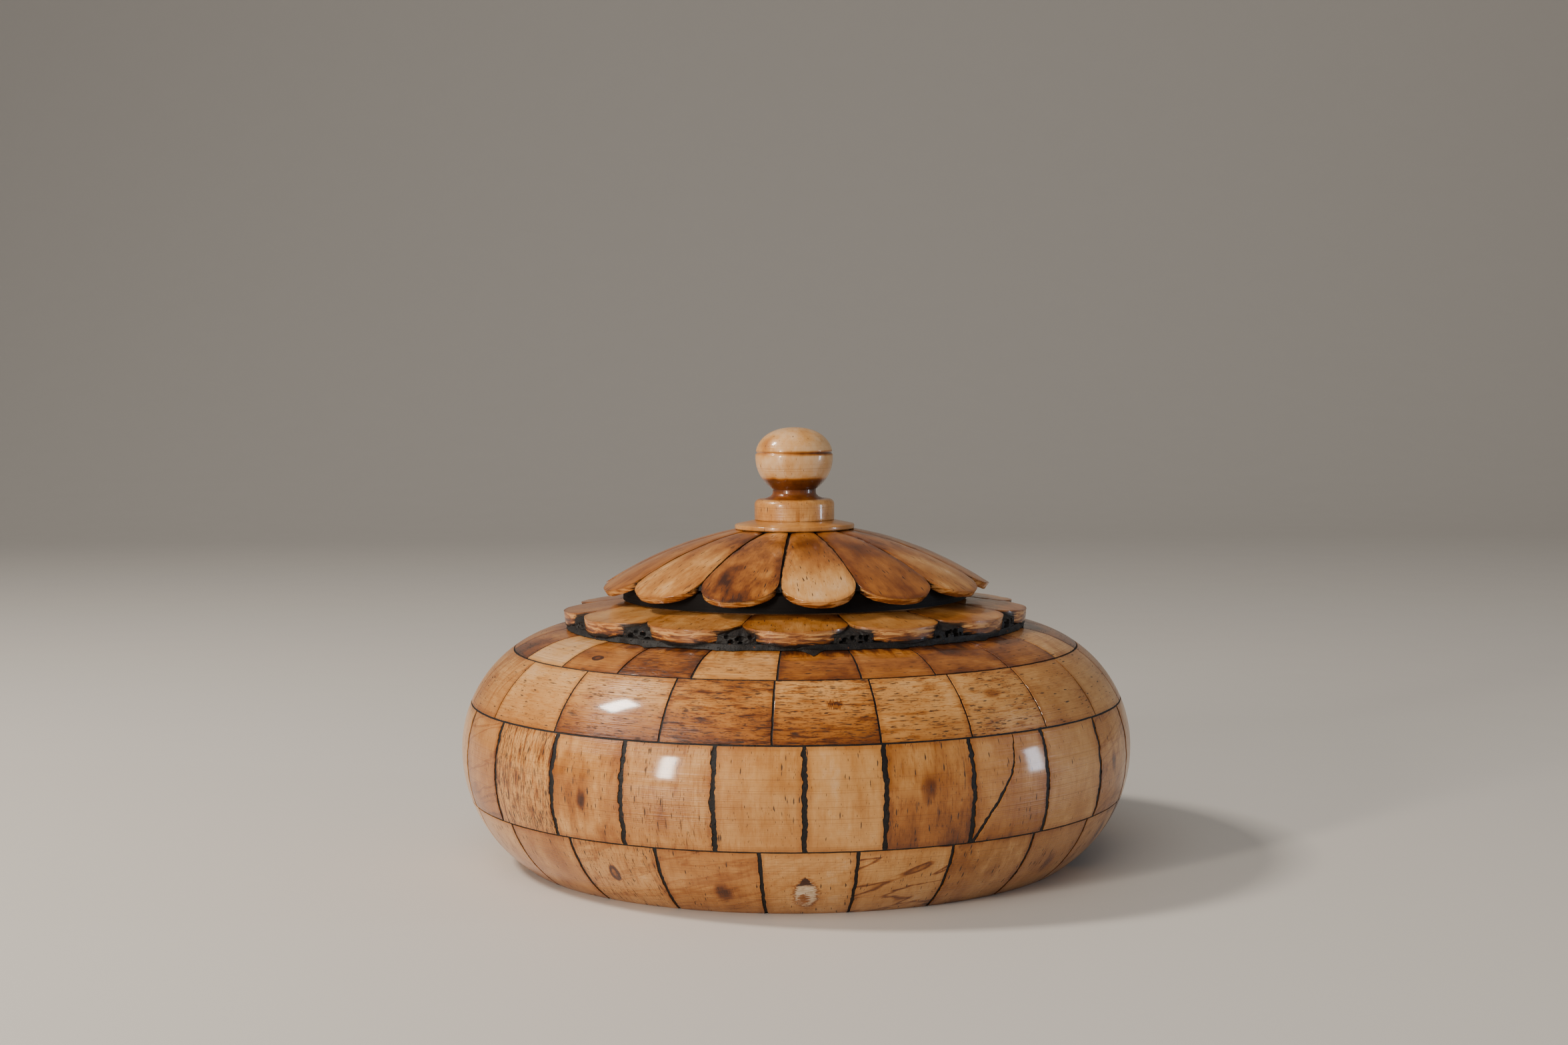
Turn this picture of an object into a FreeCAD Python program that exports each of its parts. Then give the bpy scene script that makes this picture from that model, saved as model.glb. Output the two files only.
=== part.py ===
"""A squat round keepsake box covered with bone tiles, with a petalled lift-off lid and a turned finial.

Millimetres, +Z up. The origin is the centre of the flat base. The front of the box faces -Y, and angles
round the box are counted in degrees from the front, positive towards +X.
"""
import FreeCAD, Part
import math
import os

# Outside of the body, over the tiles
belt_radius = 60.0          # widest radius
belt_height = 20.0          # height of the widest line
base_inset = 10.7           # the edge that stands on the table lies this far inside the widest line
shoulder_height = 41.3      # top of the rounded shoulder

# Tile courses
tile_thickness = 3.2
glue_gap = 0.2              # glue line under a tile or a petal
seam_gap = 0.3              # filler line between two courses
foot_seam_angle = 20.0      # degrees round the skin's arc, from the widest line down to the foot course
upper_seam_angle = 23.5     # degrees from the widest line up to the upper course
shoulder_seam_angle = 56.2  # and up to the shoulder course
foot_inset = 5.3            # width of the foot course's standing edge
filler_recess = 0.15        # the filler lies this far under the tiles' faces

# Joints between tiles: those at the front are hand cut and uneven, and even tiles fill the rest
foot_joint_angles = (-54.0, -38.6, -22.5, -5.7, 9.5, 25.1, 41.1, 56.0)
belt_joint_angles = (-56.8, -41.2, -27.5, -12.5, 1.2, 13.5, 27.9, 42.7, 58.0)
upper_joint_angles = (-60.8, -42.2, -21.8, -3.7, 13.2, 28.7, 44.3, 60.0)
shoulder_joint_angles = (-66.0, -50.3, -34.9, -19.3, -3.3, 12.0, 26.5, 43.9, 61.0)
foot_back_tiles = 16
belt_back_tiles = 17
upper_back_tiles = 14
shoulder_back_tiles = 15
foot_joint_gap = 0.55
belt_joint_gap = 0.9
upper_joint_gap = 0.25
shoulder_joint_gap = 0.35

# Wooden core, turned in two halves that meet at the widest line
core_wall = 7.1
floor_thickness = 6.5
floor_corner = 13.5         # width of the rounded corner between floor and wall
tongue_width = 3.0
tongue_height = 3.0
tongue_clearance = 0.1
curb_width = 2.7            # wooden rim round the mouth, which the lid sits on
curb_rise = 0.3             # the rim stands this far above the collar's petals

# Collar of petals fixed round the mouth, also cut by hand at the front and even behind
collar_joint_angles = (-69.5, -41.2, -13.8, 13.8, 39.5)
collar_back_petals = 9
collar_length = 11.8        # petals, from the curb round the mouth out to their tips
collar_reach = 3.0          # tips stand this far outside the shoulder's crest
collar_overhang = 2.2       # the tips reach this far past the end of the shoulder tiles
collar_slope = 8.0          # degrees
collar_petal_thickness = 2.2
collar_bed = 0.9            # mastic under the petals
collar_notch_depth = 2.4    # from the tips in to where the rounded ends start
collar_petal_gap = 0.4
collar_mastic_inset = 1.0   # the mastic between the tips stays this far inside them
collar_mastic_drop = 0.7    # and this far under the petals' tops

# Lid, with petals of its own
lid_joint_angles = (-59.2, -31.0, -4.8, 19.8, 46.9)
lid_back_petals = 9
spigot_clearance = 0.4
spigot_depth = 5.0
spigot_chamfer = 0.8
lid_rim_step = 1.3          # the lid's wooden rim stands this far outside the curb
lid_overhang = 8.0          # petal tips stand this far outside the mouth
lid_tip_rise = 2.2          # top of the tips above the seat
lid_crown_rise = 12.1       # top of the petals at the finial disc above the seat
lid_bulge = 1.3             # how far the petals' tops bow out
lid_petal_thickness = 1.3
lid_petal_gap = 0.5
lid_filler_recess = 0.5

# Finial, four pieces on the lid's axis
disc_radius = 10.8
disc_lap = 0.7              # the disc covers this much of the petals' inner ends
disc_edge = 0.8             # thickness at its rim
disc_rise = 0.75            # how much the disc rises from its rim to the base
base_piece_radius = 7.2
base_piece_height = 3.8
base_piece_round = 1.0
neck_radius = 3.9
neck_foot_radius = 5.4
neck_height = 1.7
neck_waist = 1.0            # height of the cove's narrowest line over the base
ball_radius = 7.0
ball_flat_radius = 4.5      # flat at the ball's top
groove_height = 0.8         # turned line above the ball's middle
groove_depth = 0.3
dowel_radius = 2.0
dowel_in_lid = 8.5
dowel_in_ball = 5.0
dowel_clearance = 0.05
dowel_end_gap = 0.2

AXIS = FreeCAD.Vector(0, 0, 1)
ORIGIN = FreeCAD.Vector(0, 0, 0)
FRONT = -90.0               # the front's direction, counted from +X
FULL_TURN = 360.0


def at(radius, height):
    """A point of a section, in the half plane that is turned about the axis."""
    return FreeCAD.Vector(radius, 0, height)


def line(start, end):
    return Part.LineSegment(start, end).toShape()


def polyline(*points):
    return [line(a, b) for a, b in zip(points, points[1:])]


def arc(start, middle, end):
    return Part.Arc(start, middle, end).toShape()


def face_of(edges):
    return Part.Face(Part.Wire(Part.__sortEdges__(edges)))


def turned(edges, start_angle=0.0, sweep=FULL_TURN):
    """The section turned about the axis from one angle, counted from the front, by a sweep."""
    section = face_of(edges)
    section.rotate(ORIGIN, AXIS, FRONT + start_angle)
    return section.revolve(ORIGIN, AXIS, sweep)


def arc_radius(run, rise):
    """Radius of an arc that starts upright and ends this far in and this far along."""
    return (run ** 2 + rise ** 2) / (2 * run)


# Outer skin of the body: two arcs that are both upright at the widest line
base_radius = belt_radius - base_inset
lower_radius = arc_radius(base_inset, belt_height)
upper_radius = shoulder_height - belt_height
lower_centre = at(belt_radius - lower_radius, belt_height)
upper_centre = at(belt_radius - upper_radius, belt_height)


def skin_point(angle, inset=0.0):
    """A point of the skin, or under it by an inset; negative angles lie under the widest line."""
    centre, radius = (lower_centre, lower_radius) if angle < 0 else (upper_centre, upper_radius)
    reach = radius - inset
    return centre + at(reach * math.cos(angle), reach * math.sin(angle))


def skin_arc(start, end, inset):
    return arc(skin_point(start, inset), skin_point((start + end) / 2, inset), skin_point(end, inset))


def skin_edges(start, end, inset):
    """The skin between two angles, split at the widest line where it crosses that."""
    if start < 0 < end:
        widest = at(belt_radius - inset, belt_height)
        lower = arc(skin_point(start, inset), skin_point(start / 2, inset), widest)
        return [lower, skin_arc(0.0, end, inset)]
    return [skin_arc(start, end, inset)]


def skin_height(radius):
    """Height of the shoulder's skin at a radius."""
    return belt_height + math.sqrt(upper_radius ** 2 - (radius - upper_centre.x) ** 2)


collar_tip_radius = upper_centre.x + collar_reach
shoulder_edge_radius = collar_tip_radius - collar_overhang
base_angle = math.atan2(-belt_height, base_radius - lower_centre.x)
foot_seam = -math.radians(foot_seam_angle)
upper_seam = math.radians(upper_seam_angle)
shoulder_seam = math.radians(shoulder_seam_angle)
shoulder_end = math.acos((shoulder_edge_radius - upper_centre.x) / upper_radius)
foot_radius = base_radius - foot_inset
core_inset = tile_thickness + glue_gap


def half_seam(angle):
    """Half a seam's width, as an angle of the skin's arc."""
    return seam_gap / 2 / (lower_radius if angle < 0 else upper_radius)


def inner_foot_point(radius, inset):
    """Where the upright wall of the foot meets the skin's inner face."""
    reach = lower_radius - inset
    return at(radius, belt_height - math.sqrt(reach ** 2 - (radius - lower_centre.x) ** 2))


def foot_section(top, recess=0.0):
    """Section of the lowest course, which stands on the table."""
    inner_start = inner_foot_point(foot_radius + glue_gap, tile_thickness)
    inner_angle = math.atan2(inner_start.z - belt_height, inner_start.x - lower_centre.x)
    edges = skin_edges(base_angle, top, recess) + skin_edges(inner_angle, top, tile_thickness)
    edges += [line(skin_point(top, recess), skin_point(top, tile_thickness))]
    return edges + polyline(skin_point(base_angle, recess), at(inner_start.x, 0.0), inner_start)


def course_section(bottom, top, recess=0.0):
    """Section of a course between two angles of the skin."""
    edges = skin_edges(bottom, top, recess) + skin_edges(bottom, top, tile_thickness)
    edges += [line(skin_point(a, recess), skin_point(a, tile_thickness)) for a in (bottom, top)]
    return edges


def all_joints(front_angles, back_tiles):
    """Every joint's angle: those cut by hand at the front, then even ones round the back."""
    step = (FULL_TURN + front_angles[0] - front_angles[-1]) / back_tiles
    return list(front_angles) + [front_angles[-1] + step * k for k in range(1, back_tiles)]


def tiles_and_filler(tile_edges, filler_edges, joints, gap):
    """A course's tiles, and the strips of filler in the joints between them."""
    joint_angle = math.degrees(gap / belt_radius)
    tiles, strips = [], []
    for angle, following in zip(joints, joints[1:] + [joints[0] + FULL_TURN]):
        tiles.append(turned(tile_edges, angle + joint_angle / 2, following - angle - joint_angle))
        strips.append(turned(filler_edges, angle - joint_angle / 2, joint_angle))
    return Part.makeCompound(tiles), Part.makeCompound(strips)


def course(name, tile_edges, filler_edges, front_angles, back_tiles, gap):
    joints = all_joints(front_angles, back_tiles)
    tiles, strips = tiles_and_filler(tile_edges, filler_edges, joints, gap)
    return {name + "_course_tiles": tiles, name + "_course_filler": strips}


def tile_courses():
    """The four courses, from the foot up."""
    made = {}
    foot_top = foot_seam - half_seam(foot_seam)
    made.update(course("foot", foot_section(foot_top), foot_section(foot_top, filler_recess),
                       foot_joint_angles, foot_back_tiles, foot_joint_gap))
    spans = {
        "belt": (foot_seam + half_seam(foot_seam), upper_seam - half_seam(upper_seam),
                 belt_joint_angles, belt_back_tiles, belt_joint_gap),
        "upper": (upper_seam + half_seam(upper_seam), shoulder_seam - half_seam(shoulder_seam),
                  upper_joint_angles, upper_back_tiles, upper_joint_gap),
        "shoulder": (shoulder_seam + half_seam(shoulder_seam), shoulder_end,
                     shoulder_joint_angles, shoulder_back_tiles, shoulder_joint_gap),
    }
    for name, (bottom, top, angles, back_tiles, gap) in spans.items():
        made.update(course(name, course_section(bottom, top), course_section(bottom, top, filler_recess),
                           angles, back_tiles, gap))
    return made


def seam_rings():
    """Rings of filler in the three seams between courses."""
    rings = []
    for seam in (foot_seam, upper_seam, shoulder_seam):
        half = half_seam(seam)
        rings.append(turned(course_section(seam - half, seam + half, filler_recess)))
    return Part.makeCompound(rings)


# Collar: a sloping ring of petals round the mouth, on a bed of mastic
collar_inner_radius = collar_tip_radius - collar_length
curb_radius = collar_inner_radius - glue_gap
mouth_radius = curb_radius - curb_width
collar_rise = math.tan(math.radians(collar_slope))
collar_tip_bottom = skin_height(collar_tip_radius) + collar_bed


def collar_bottom(radius):
    """Height of the petals' undersides at a radius."""
    return collar_tip_bottom + (collar_tip_radius - radius) * collar_rise


def collar_top(radius):
    return collar_bottom(radius) + collar_petal_thickness


def collar_fill_top(radius):
    """Height of the mastic in the notches between the petals."""
    return collar_top(radius) - collar_mastic_drop


seat_height = collar_top(curb_radius) + curb_rise


def ring_between(inner, outer, bottom, top):
    """A ring between two radii, with its lower and upper heights given by two functions of the radius."""
    low_inner, low_outer = at(inner, bottom(inner)), at(outer, bottom(outer))
    high_inner, high_outer = at(inner, top(inner)), at(outer, top(outer))
    return turned(polyline(low_inner, low_outer, high_outer, high_inner, low_inner))


def petal_spans(front_angles, back_petals):
    """The angle of each petal's middle line, and half the angle that it takes up."""
    joints = all_joints(front_angles, back_petals)
    pairs = zip(joints, joints[1:] + [joints[0] + FULL_TURN])
    return [((left + right) / 2, (right - left) / 2) for left, right in pairs]


def petal_sides(inner_radius, outer_radius, half_angle, gap):
    """The four corners of a petal's straight sides, seen from above, pointing along +X."""
    turn = math.radians(half_angle)
    corners = []
    for radius, side in ((inner_radius, -1), (outer_radius, -1), (outer_radius, 1), (inner_radius, 1)):
        along = FreeCAD.Vector(math.cos(turn), side * math.sin(turn), 0) * radius
        inward = FreeCAD.Vector(math.sin(turn), -side * math.cos(turn), 0) * gap / 2
        corners.append(along + inward)
    return corners


def petal_prism(inner_radius, side_end, tip_radius, gap, span):
    """A tall upright prism over a petal's outline, with a round outer end."""
    angle, half_angle = span
    start, left, right, end = petal_sides(inner_radius, side_end, half_angle, gap)
    tip = FreeCAD.Vector(tip_radius, 0, 0)
    edges = [line(start, left), arc(left, tip, right), line(right, end), line(end, start)]
    prism = face_of(edges).extrude(AXIS * 2 * belt_radius)
    prism.rotate(ORIGIN, AXIS, FRONT + angle)
    return prism


def petals(name, slab, prisms):
    """One node for each petal: the slab within the petal's outline."""
    return {f"{name}_petal_{k + 1:02d}": slab.common(prism) for k, prism in enumerate(prisms)}


def collar_prisms():
    side_end = collar_tip_radius - collar_notch_depth
    return [petal_prism(collar_inner_radius, side_end, collar_tip_radius, collar_petal_gap, span)
            for span in petal_spans(collar_joint_angles, collar_back_petals)]


def collar_petals():
    """The fixed petals round the mouth, from the front's left round to the right."""
    slab = ring_between(curb_radius, collar_tip_radius + collar_bed, collar_bottom, collar_top)
    return petals("collar", slab, collar_prisms())


def core_top(radius):
    """Height of the wooden core under the mastic bed."""
    return collar_bottom(radius) - collar_bed


def lip_bottom(radius):
    """Height of the mastic that was squeezed out over the shoulder tiles."""
    return skin_height(radius) + glue_gap


core_edge_radius = shoulder_edge_radius - glue_gap


def collar_mastic():
    """The bed under the petals, and what fills the notches between their round ends."""
    outer = collar_tip_radius - collar_mastic_inset
    bed = ring_between(collar_inner_radius, core_edge_radius, core_top, collar_bottom)
    lip = ring_between(core_edge_radius, outer, lip_bottom, collar_bottom)
    fill = ring_between(collar_inner_radius, outer, collar_bottom, collar_fill_top)
    return bed.fuse([lip, fill.cut(collar_prisms())]).removeSplitter()


# Wooden core
cavity_radius = belt_radius - core_inset - core_wall
cavity_floor_radius = cavity_radius - floor_corner
ceiling_height = skin_point(math.pi / 2, core_inset + core_wall).z
tongue_inner = cavity_radius + (core_wall - tongue_width) / 2
tongue_outer = tongue_inner + tongue_width


def cavity_arc(corner_radius, end):
    """The cavity's wall from its widest point, upright there, to another height."""
    centre_x = cavity_radius - corner_radius
    turn = math.atan2(end.z - belt_height, end.x - centre_x) / 2
    middle = at(centre_x + corner_radius * math.cos(turn), belt_height + corner_radius * math.sin(turn))
    return arc(at(cavity_radius, belt_height), middle, end)


def core_bowl():
    """Lower half: floor and wall, with a tongue on its rim."""
    rim = belt_radius - core_inset
    foot_top = inner_foot_point(foot_radius, core_inset)
    foot_top_angle = math.atan2(foot_top.z - belt_height, foot_top.x - lower_centre.x)
    floor_edge = at(cavity_floor_radius, floor_thickness)
    corner_radius = arc_radius(floor_corner, belt_height - floor_thickness)
    edges = polyline(at(0, floor_thickness), at(0, 0), at(foot_radius, 0), foot_top)
    edges += [arc(foot_top, skin_point(foot_top_angle / 2, core_inset), at(rim, belt_height))]
    tongue_top = belt_height + tongue_height
    edges += polyline(at(rim, belt_height), at(tongue_outer, belt_height),
                      at(tongue_outer, tongue_top), at(tongue_inner, tongue_top),
                      at(tongue_inner, belt_height), at(cavity_radius, belt_height))
    edges += [cavity_arc(corner_radius, floor_edge), line(floor_edge, at(0, floor_thickness))]
    return turned(edges)


def core_shoulder():
    """Upper half: the shoulder, the mouth and its curb, with a groove over the tongue."""
    rim = belt_radius - core_inset
    core_end = math.acos((core_edge_radius - upper_centre.x) / (upper_radius - core_inset))
    ceiling_edge = at(cavity_radius - (ceiling_height - belt_height), ceiling_height)
    groove_top = belt_height + tongue_height + tongue_clearance
    groove_inner, groove_outer = tongue_inner - tongue_clearance, tongue_outer + tongue_clearance
    edges = skin_edges(0.0, core_end, core_inset)
    edges += polyline(skin_point(core_end, core_inset), at(core_edge_radius, core_top(core_edge_radius)),
                      at(curb_radius, core_top(curb_radius)), at(curb_radius, seat_height),
                      at(mouth_radius, seat_height), at(mouth_radius, ceiling_height), ceiling_edge)
    edges += [cavity_arc(ceiling_height - belt_height, ceiling_edge)]
    edges += polyline(at(cavity_radius, belt_height), at(groove_inner, belt_height),
                      at(groove_inner, groove_top), at(groove_outer, groove_top),
                      at(groove_outer, belt_height), at(rim, belt_height))
    return turned(edges)


# Lid: a wooden plug and dome, with petals laid on the dome
lid_tip_radius = mouth_radius + lid_overhang
lid_rim_radius = curb_radius + lid_rim_step
spigot_radius = mouth_radius - spigot_clearance
boss_radius = disc_radius - disc_lap
crown_height = seat_height + lid_crown_rise
boss_top = crown_height + glue_gap
lid_inner_radius = boss_radius + glue_gap
crown_point = at(disc_radius, crown_height)
tip_point = at(lid_tip_radius, seat_height + lid_tip_rise)
dome_chord = tip_point - crown_point
dome_radius = (dome_chord.Length ** 2 / 4 + lid_bulge ** 2) / (2 * lid_bulge)
dome_normal = FreeCAD.Vector(-dome_chord.z, 0, dome_chord.x) / dome_chord.Length
dome_centre = (crown_point + tip_point) / 2 - dome_normal * (dome_radius - lid_bulge)


def dome_point(radius, inset):
    """A point of the petals' top surface, or under it by an inset."""
    reach = dome_radius - inset
    return at(radius, dome_centre.z + math.sqrt(reach ** 2 - (radius - dome_centre.x) ** 2))


def dome_arc(inner, outer, inset):
    return arc(dome_point(inner, inset), dome_point((inner + outer) / 2, inset), dome_point(outer, inset))


def dome_shell(inner, outer, top_inset, bottom_inset):
    edges = [dome_arc(inner, outer, top_inset), dome_arc(inner, outer, bottom_inset)]
    edges += [line(dome_point(r, top_inset), dome_point(r, bottom_inset)) for r in (inner, outer)]
    return turned(edges)


def lid_side_end(half_angle):
    """How far out a lid petal's straight sides run before they pass tangent into its round tip."""
    turn = math.radians(half_angle)
    tip_centre = (lid_tip_radius + lid_petal_gap / 2) / (1 + math.sin(turn))
    return tip_centre * math.cos(turn)


def lid_prisms():
    return [petal_prism(lid_inner_radius, lid_side_end(span[1]), lid_tip_radius, lid_petal_gap, span)
            for span in petal_spans(lid_joint_angles, lid_back_petals)]


def lid_petals():
    slab = dome_shell(boss_radius, lid_tip_radius + lid_petal_thickness, 0.0, lid_petal_thickness)
    return petals("lid", slab, lid_prisms())


def lid_filler():
    """Strips of filler between the lid's petals, as far out as the wooden rim."""
    shell = dome_shell(lid_inner_radius, lid_rim_radius, lid_filler_recess, lid_petal_thickness)
    return shell.cut(lid_prisms())


core_dome_inset = lid_petal_thickness + glue_gap


def lid_core():
    """The wooden lid: a plug for the mouth, a rim that sits on the curb, a dome and a boss for the finial."""
    spigot_foot = seat_height - spigot_depth
    rim_top = dome_point(lid_rim_radius, core_dome_inset)
    hole_radius = dowel_radius + dowel_clearance
    hole_floor = boss_top - dowel_in_lid - dowel_end_gap
    edges = polyline(at(0, hole_floor), at(0, spigot_foot), at(spigot_radius - spigot_chamfer, spigot_foot),
                     at(spigot_radius, spigot_foot + spigot_chamfer), at(spigot_radius, seat_height),
                     at(lid_rim_radius, seat_height), rim_top)
    edges += [dome_arc(boss_radius, lid_rim_radius, core_dome_inset)]
    edges += polyline(dome_point(boss_radius, core_dome_inset), at(boss_radius, boss_top),
                      at(hole_radius, boss_top), at(hole_radius, hole_floor), at(0, hole_floor))
    return turned(edges)


# Finial
disc_top = boss_top + disc_edge + disc_rise
base_top = disc_top + base_piece_height
ball_centre = base_top + neck_height + math.sqrt(ball_radius ** 2 - neck_radius ** 2)
ball_top = ball_centre + math.sqrt(ball_radius ** 2 - ball_flat_radius ** 2)


def finial_disc():
    """A low bone cone over the petals' inner ends, with a hole for the dowel."""
    hole = dowel_radius + dowel_clearance
    corners = (at(hole, boss_top), at(disc_radius, boss_top), at(disc_radius, boss_top + disc_edge),
               at(base_piece_radius, disc_top), at(hole, disc_top), at(hole, boss_top))
    return turned(polyline(*corners))


def finial_base():
    """A short drum with a rounded upper edge."""
    hole = dowel_radius + dowel_clearance
    flat = base_piece_radius - base_piece_round
    shoulder = base_top - base_piece_round
    slant = base_piece_round * math.cos(math.pi / 4)
    rounding = arc(at(base_piece_radius, shoulder), at(flat + slant, shoulder + slant), at(flat, base_top))
    edges = polyline(at(flat, base_top), at(hole, base_top), at(hole, disc_top),
                     at(base_piece_radius, disc_top), at(base_piece_radius, shoulder))
    return turned(edges + [rounding])


def ball_point(height):
    """A point of the ball's surface, by its height over the ball's middle."""
    return at(math.sqrt(ball_radius ** 2 - height ** 2), ball_centre + height)


def ball_arc(low, high):
    return arc(ball_point(low), ball_point((low + high) / 2), ball_point(high))


def finial_ball():
    """Neck and ball in one turned piece, with a turned line round the ball."""
    hole = dowel_radius + dowel_clearance
    hole_top = base_top + dowel_in_ball + dowel_end_gap
    neck_top = base_top + neck_height
    waist = at(neck_radius, base_top + neck_waist)
    cove = arc(at(neck_foot_radius, base_top), waist, at(neck_radius, neck_top))
    groove_low, groove_high = groove_height - groove_depth, groove_height + groove_depth
    groove_floor = at(ball_point(groove_height).x - groove_depth, ball_centre + groove_height)
    edges = [cove, ball_arc(neck_top - ball_centre, groove_low)]
    edges += polyline(ball_point(groove_low), groove_floor, ball_point(groove_high))
    edges += [ball_arc(groove_high, ball_top - ball_centre)]
    edges += polyline(at(ball_flat_radius, ball_top), at(0, ball_top), at(0, hole_top), at(hole, hole_top),
                      at(hole, base_top), at(neck_foot_radius, base_top))
    return turned(edges)


def finial_dowel():
    """A pin through the disc and the base, glued into the lid and the ball."""
    foot = boss_top - dowel_in_lid
    return Part.makeCylinder(dowel_radius, base_top + dowel_in_ball - foot, at(0, foot), AXIS)


def all_nodes():
    nodes = {"core_bowl": core_bowl(), "core_shoulder": core_shoulder()}
    nodes.update(tile_courses())
    nodes["seam_filler_rings"] = seam_rings()
    nodes["collar_mastic"] = collar_mastic()
    nodes.update(collar_petals())
    nodes["lid_core"] = lid_core()
    nodes.update(lid_petals())
    nodes["lid_petal_filler"] = lid_filler()
    nodes["finial_disc"] = finial_disc()
    nodes["finial_base"] = finial_base()
    nodes["finial_ball"] = finial_ball()
    nodes["finial_dowel"] = finial_dowel()
    return nodes


def main():
    os.makedirs("parts", exist_ok=True)
    for name, shape in all_nodes().items():
        volume = sum(solid.Volume for solid in shape.Solids)
        print(f"{name}: {len(shape.Solids)} solids, {volume:.1f} mm3, valid {shape.isValid()}")
        shape.exportStep(f"parts/{name}.step")
    print(f"seat {seat_height:.2f}, top {ball_top:.2f}, cavity ceiling {ceiling_height:.2f}, "
          f"spigot foot {seat_height - spigot_depth:.2f}")


main()
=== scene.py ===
"""Looks of a round keepsake box in bone mosaic: tiles, mastic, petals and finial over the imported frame.

Metres, +Z up, the front towards -Y. Turns round the box are counted from the front, positive towards +X.
"""

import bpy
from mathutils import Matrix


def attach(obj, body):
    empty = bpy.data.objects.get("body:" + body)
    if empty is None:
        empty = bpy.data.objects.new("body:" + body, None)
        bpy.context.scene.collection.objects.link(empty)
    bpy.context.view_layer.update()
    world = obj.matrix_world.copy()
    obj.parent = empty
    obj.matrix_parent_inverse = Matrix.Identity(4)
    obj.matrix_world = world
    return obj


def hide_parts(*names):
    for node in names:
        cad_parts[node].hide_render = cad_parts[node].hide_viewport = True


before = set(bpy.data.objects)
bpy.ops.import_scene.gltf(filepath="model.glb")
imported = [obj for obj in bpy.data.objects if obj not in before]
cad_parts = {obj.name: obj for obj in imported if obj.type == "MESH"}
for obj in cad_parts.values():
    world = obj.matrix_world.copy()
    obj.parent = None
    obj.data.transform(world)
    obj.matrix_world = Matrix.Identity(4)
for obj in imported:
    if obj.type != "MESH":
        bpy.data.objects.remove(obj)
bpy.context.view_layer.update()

import math
import random
from bisect import bisect_right
from dataclasses import dataclass, replace

import bmesh
import bpy
from bpy.props import FloatProperty, FloatVectorProperty, PointerProperty
from mathutils import Matrix, Vector, noise

bl_info = {
    "name": "Bone Mosaic Box",
    "version": (1, 0, 0),
    "blender": (4, 5, 0),
    "location": "3D View > Sidebar > Mosaic Box",
    "description": "Builds a round keepsake box of bone tiles, petals and black mastic",
    "category": "Object",
}

MM = 0.001
AXIS = (0.0, 0.0, 1.0)
FULL_TURN = 2 * math.pi


def length(name, description, millimetres):
    return FloatProperty(name=name, description=description, default=millimetres * MM,
                         unit="LENGTH", precision=5)


def angle(name, description, degrees):
    return FloatProperty(name=name, description=description, default=math.radians(degrees),
                         unit="ROTATION", subtype="ANGLE")


def colour(name, description, red, green, blue):
    return FloatVectorProperty(name=name, description=description, default=(red, green, blue),
                               subtype="COLOR", min=0.0, max=1.0)


def share(name, description, value):
    return FloatProperty(name=name, description=description, default=value, min=0.0, max=1.0,
                         subtype="FACTOR")


class BodyProps(bpy.types.PropertyGroup):
    belt_radius: length("Belt radius", "Radius at the widest line", 60.0)
    belt_height: length("Belt height", "Height of the widest line", 20.0)
    base_inset: length("Base inset", "From the widest line in to the standing edge", 10.7)
    shoulder_height: length("Shoulder height", "Top of the rounded shoulder", 41.3)
    shoulder_edge: length("Shoulder edge", "Radius where the tiles end under the collar", 39.5)
    foot_inset: length("Foot inset", "Width of the flat standing edge", 5.1)
    foot_seam: angle("Foot seam", "From the widest line down to the foot course", 20.0)
    upper_seam: angle("Upper seam", "From the widest line up to the upper course", 23.5)
    shoulder_seam: angle("Shoulder seam", "From the widest line up to the shoulder course", 56.2)
    tile_thickness: length("Tile thickness", "Depth of a tile", 3.2)
    seam_gap: length("Seam gap", "Width of a seam between two courses", 0.3)
    edge_round: length("Edge rounding", "Worn rounding of the tiles' edges", 0.04)
    filler_depth: length("Filler depth", "How far the mastic lies under the tiles' faces", 0.13)
    filler_lap: length("Filler lap", "How far the mastic runs under the ragged edges", 0.6)


class CollarProps(bpy.types.PropertyGroup):
    inner_radius: length("Inner radius", "Where the petals meet the curb", 29.9)
    tip_radius: length("Tip radius", "Outer end of the petals", 41.7)
    tip_depth: length("Tip depth", "Length of the rounded end", 5.6)
    tip_top: length("Tip height", "Top of the petals at their tips", 44.19)
    slope: angle("Slope", "Slope of the petals towards the tips", 8.0)
    thickness: length("Thickness", "Thickness of a petal", 2.2)
    taper: share("Taper", "How much thinner a petal is at its corners", 0.4)
    swell: share("Swell", "How much thicker a petal is at its tip", 0.16)
    gap: length("Gap", "Gap between two petals", 0.4)
    rim_round: length("Rim rounding", "Rounding of the petals' upper rim", 0.6)


class LidProps(bpy.types.PropertyGroup):
    inner_radius: length("Inner radius", "Inner end of the petals, under the disc", 10.3)
    tip_radius: length("Tip radius", "Outer end of the petals", 35.0)
    tip_depth: length("Tip depth", "Length of the rounded end", 5.0)
    tip_top: length("Tip height", "Top of the petals at their tips", 48.37)
    crown_radius: length("Crown radius", "Rim of the finial's disc", 10.8)
    crown_top: length("Crown height", "Top of the petals at the disc", 58.27)
    bulge: length("Bulge", "How far the lid bows out", 1.3)
    thickness: length("Thickness", "Thickness of a petal", 1.3)
    taper: share("Taper", "How much thinner a petal is at its corners", 0.15)
    swell: share("Swell", "How much thicker a petal is at its tip", 0.0)
    gap: length("Gap", "Gap between two petals", 0.5)
    rim_round: length("Rim rounding", "Rounding of the petals' upper rim", 0.3)
    wood_radius: length("Wood radius", "Radius of the lid's wooden rim", 31.0)
    seat_height: length("Seat height", "Underside of the lid's wooden rim", 46.17)


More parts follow.
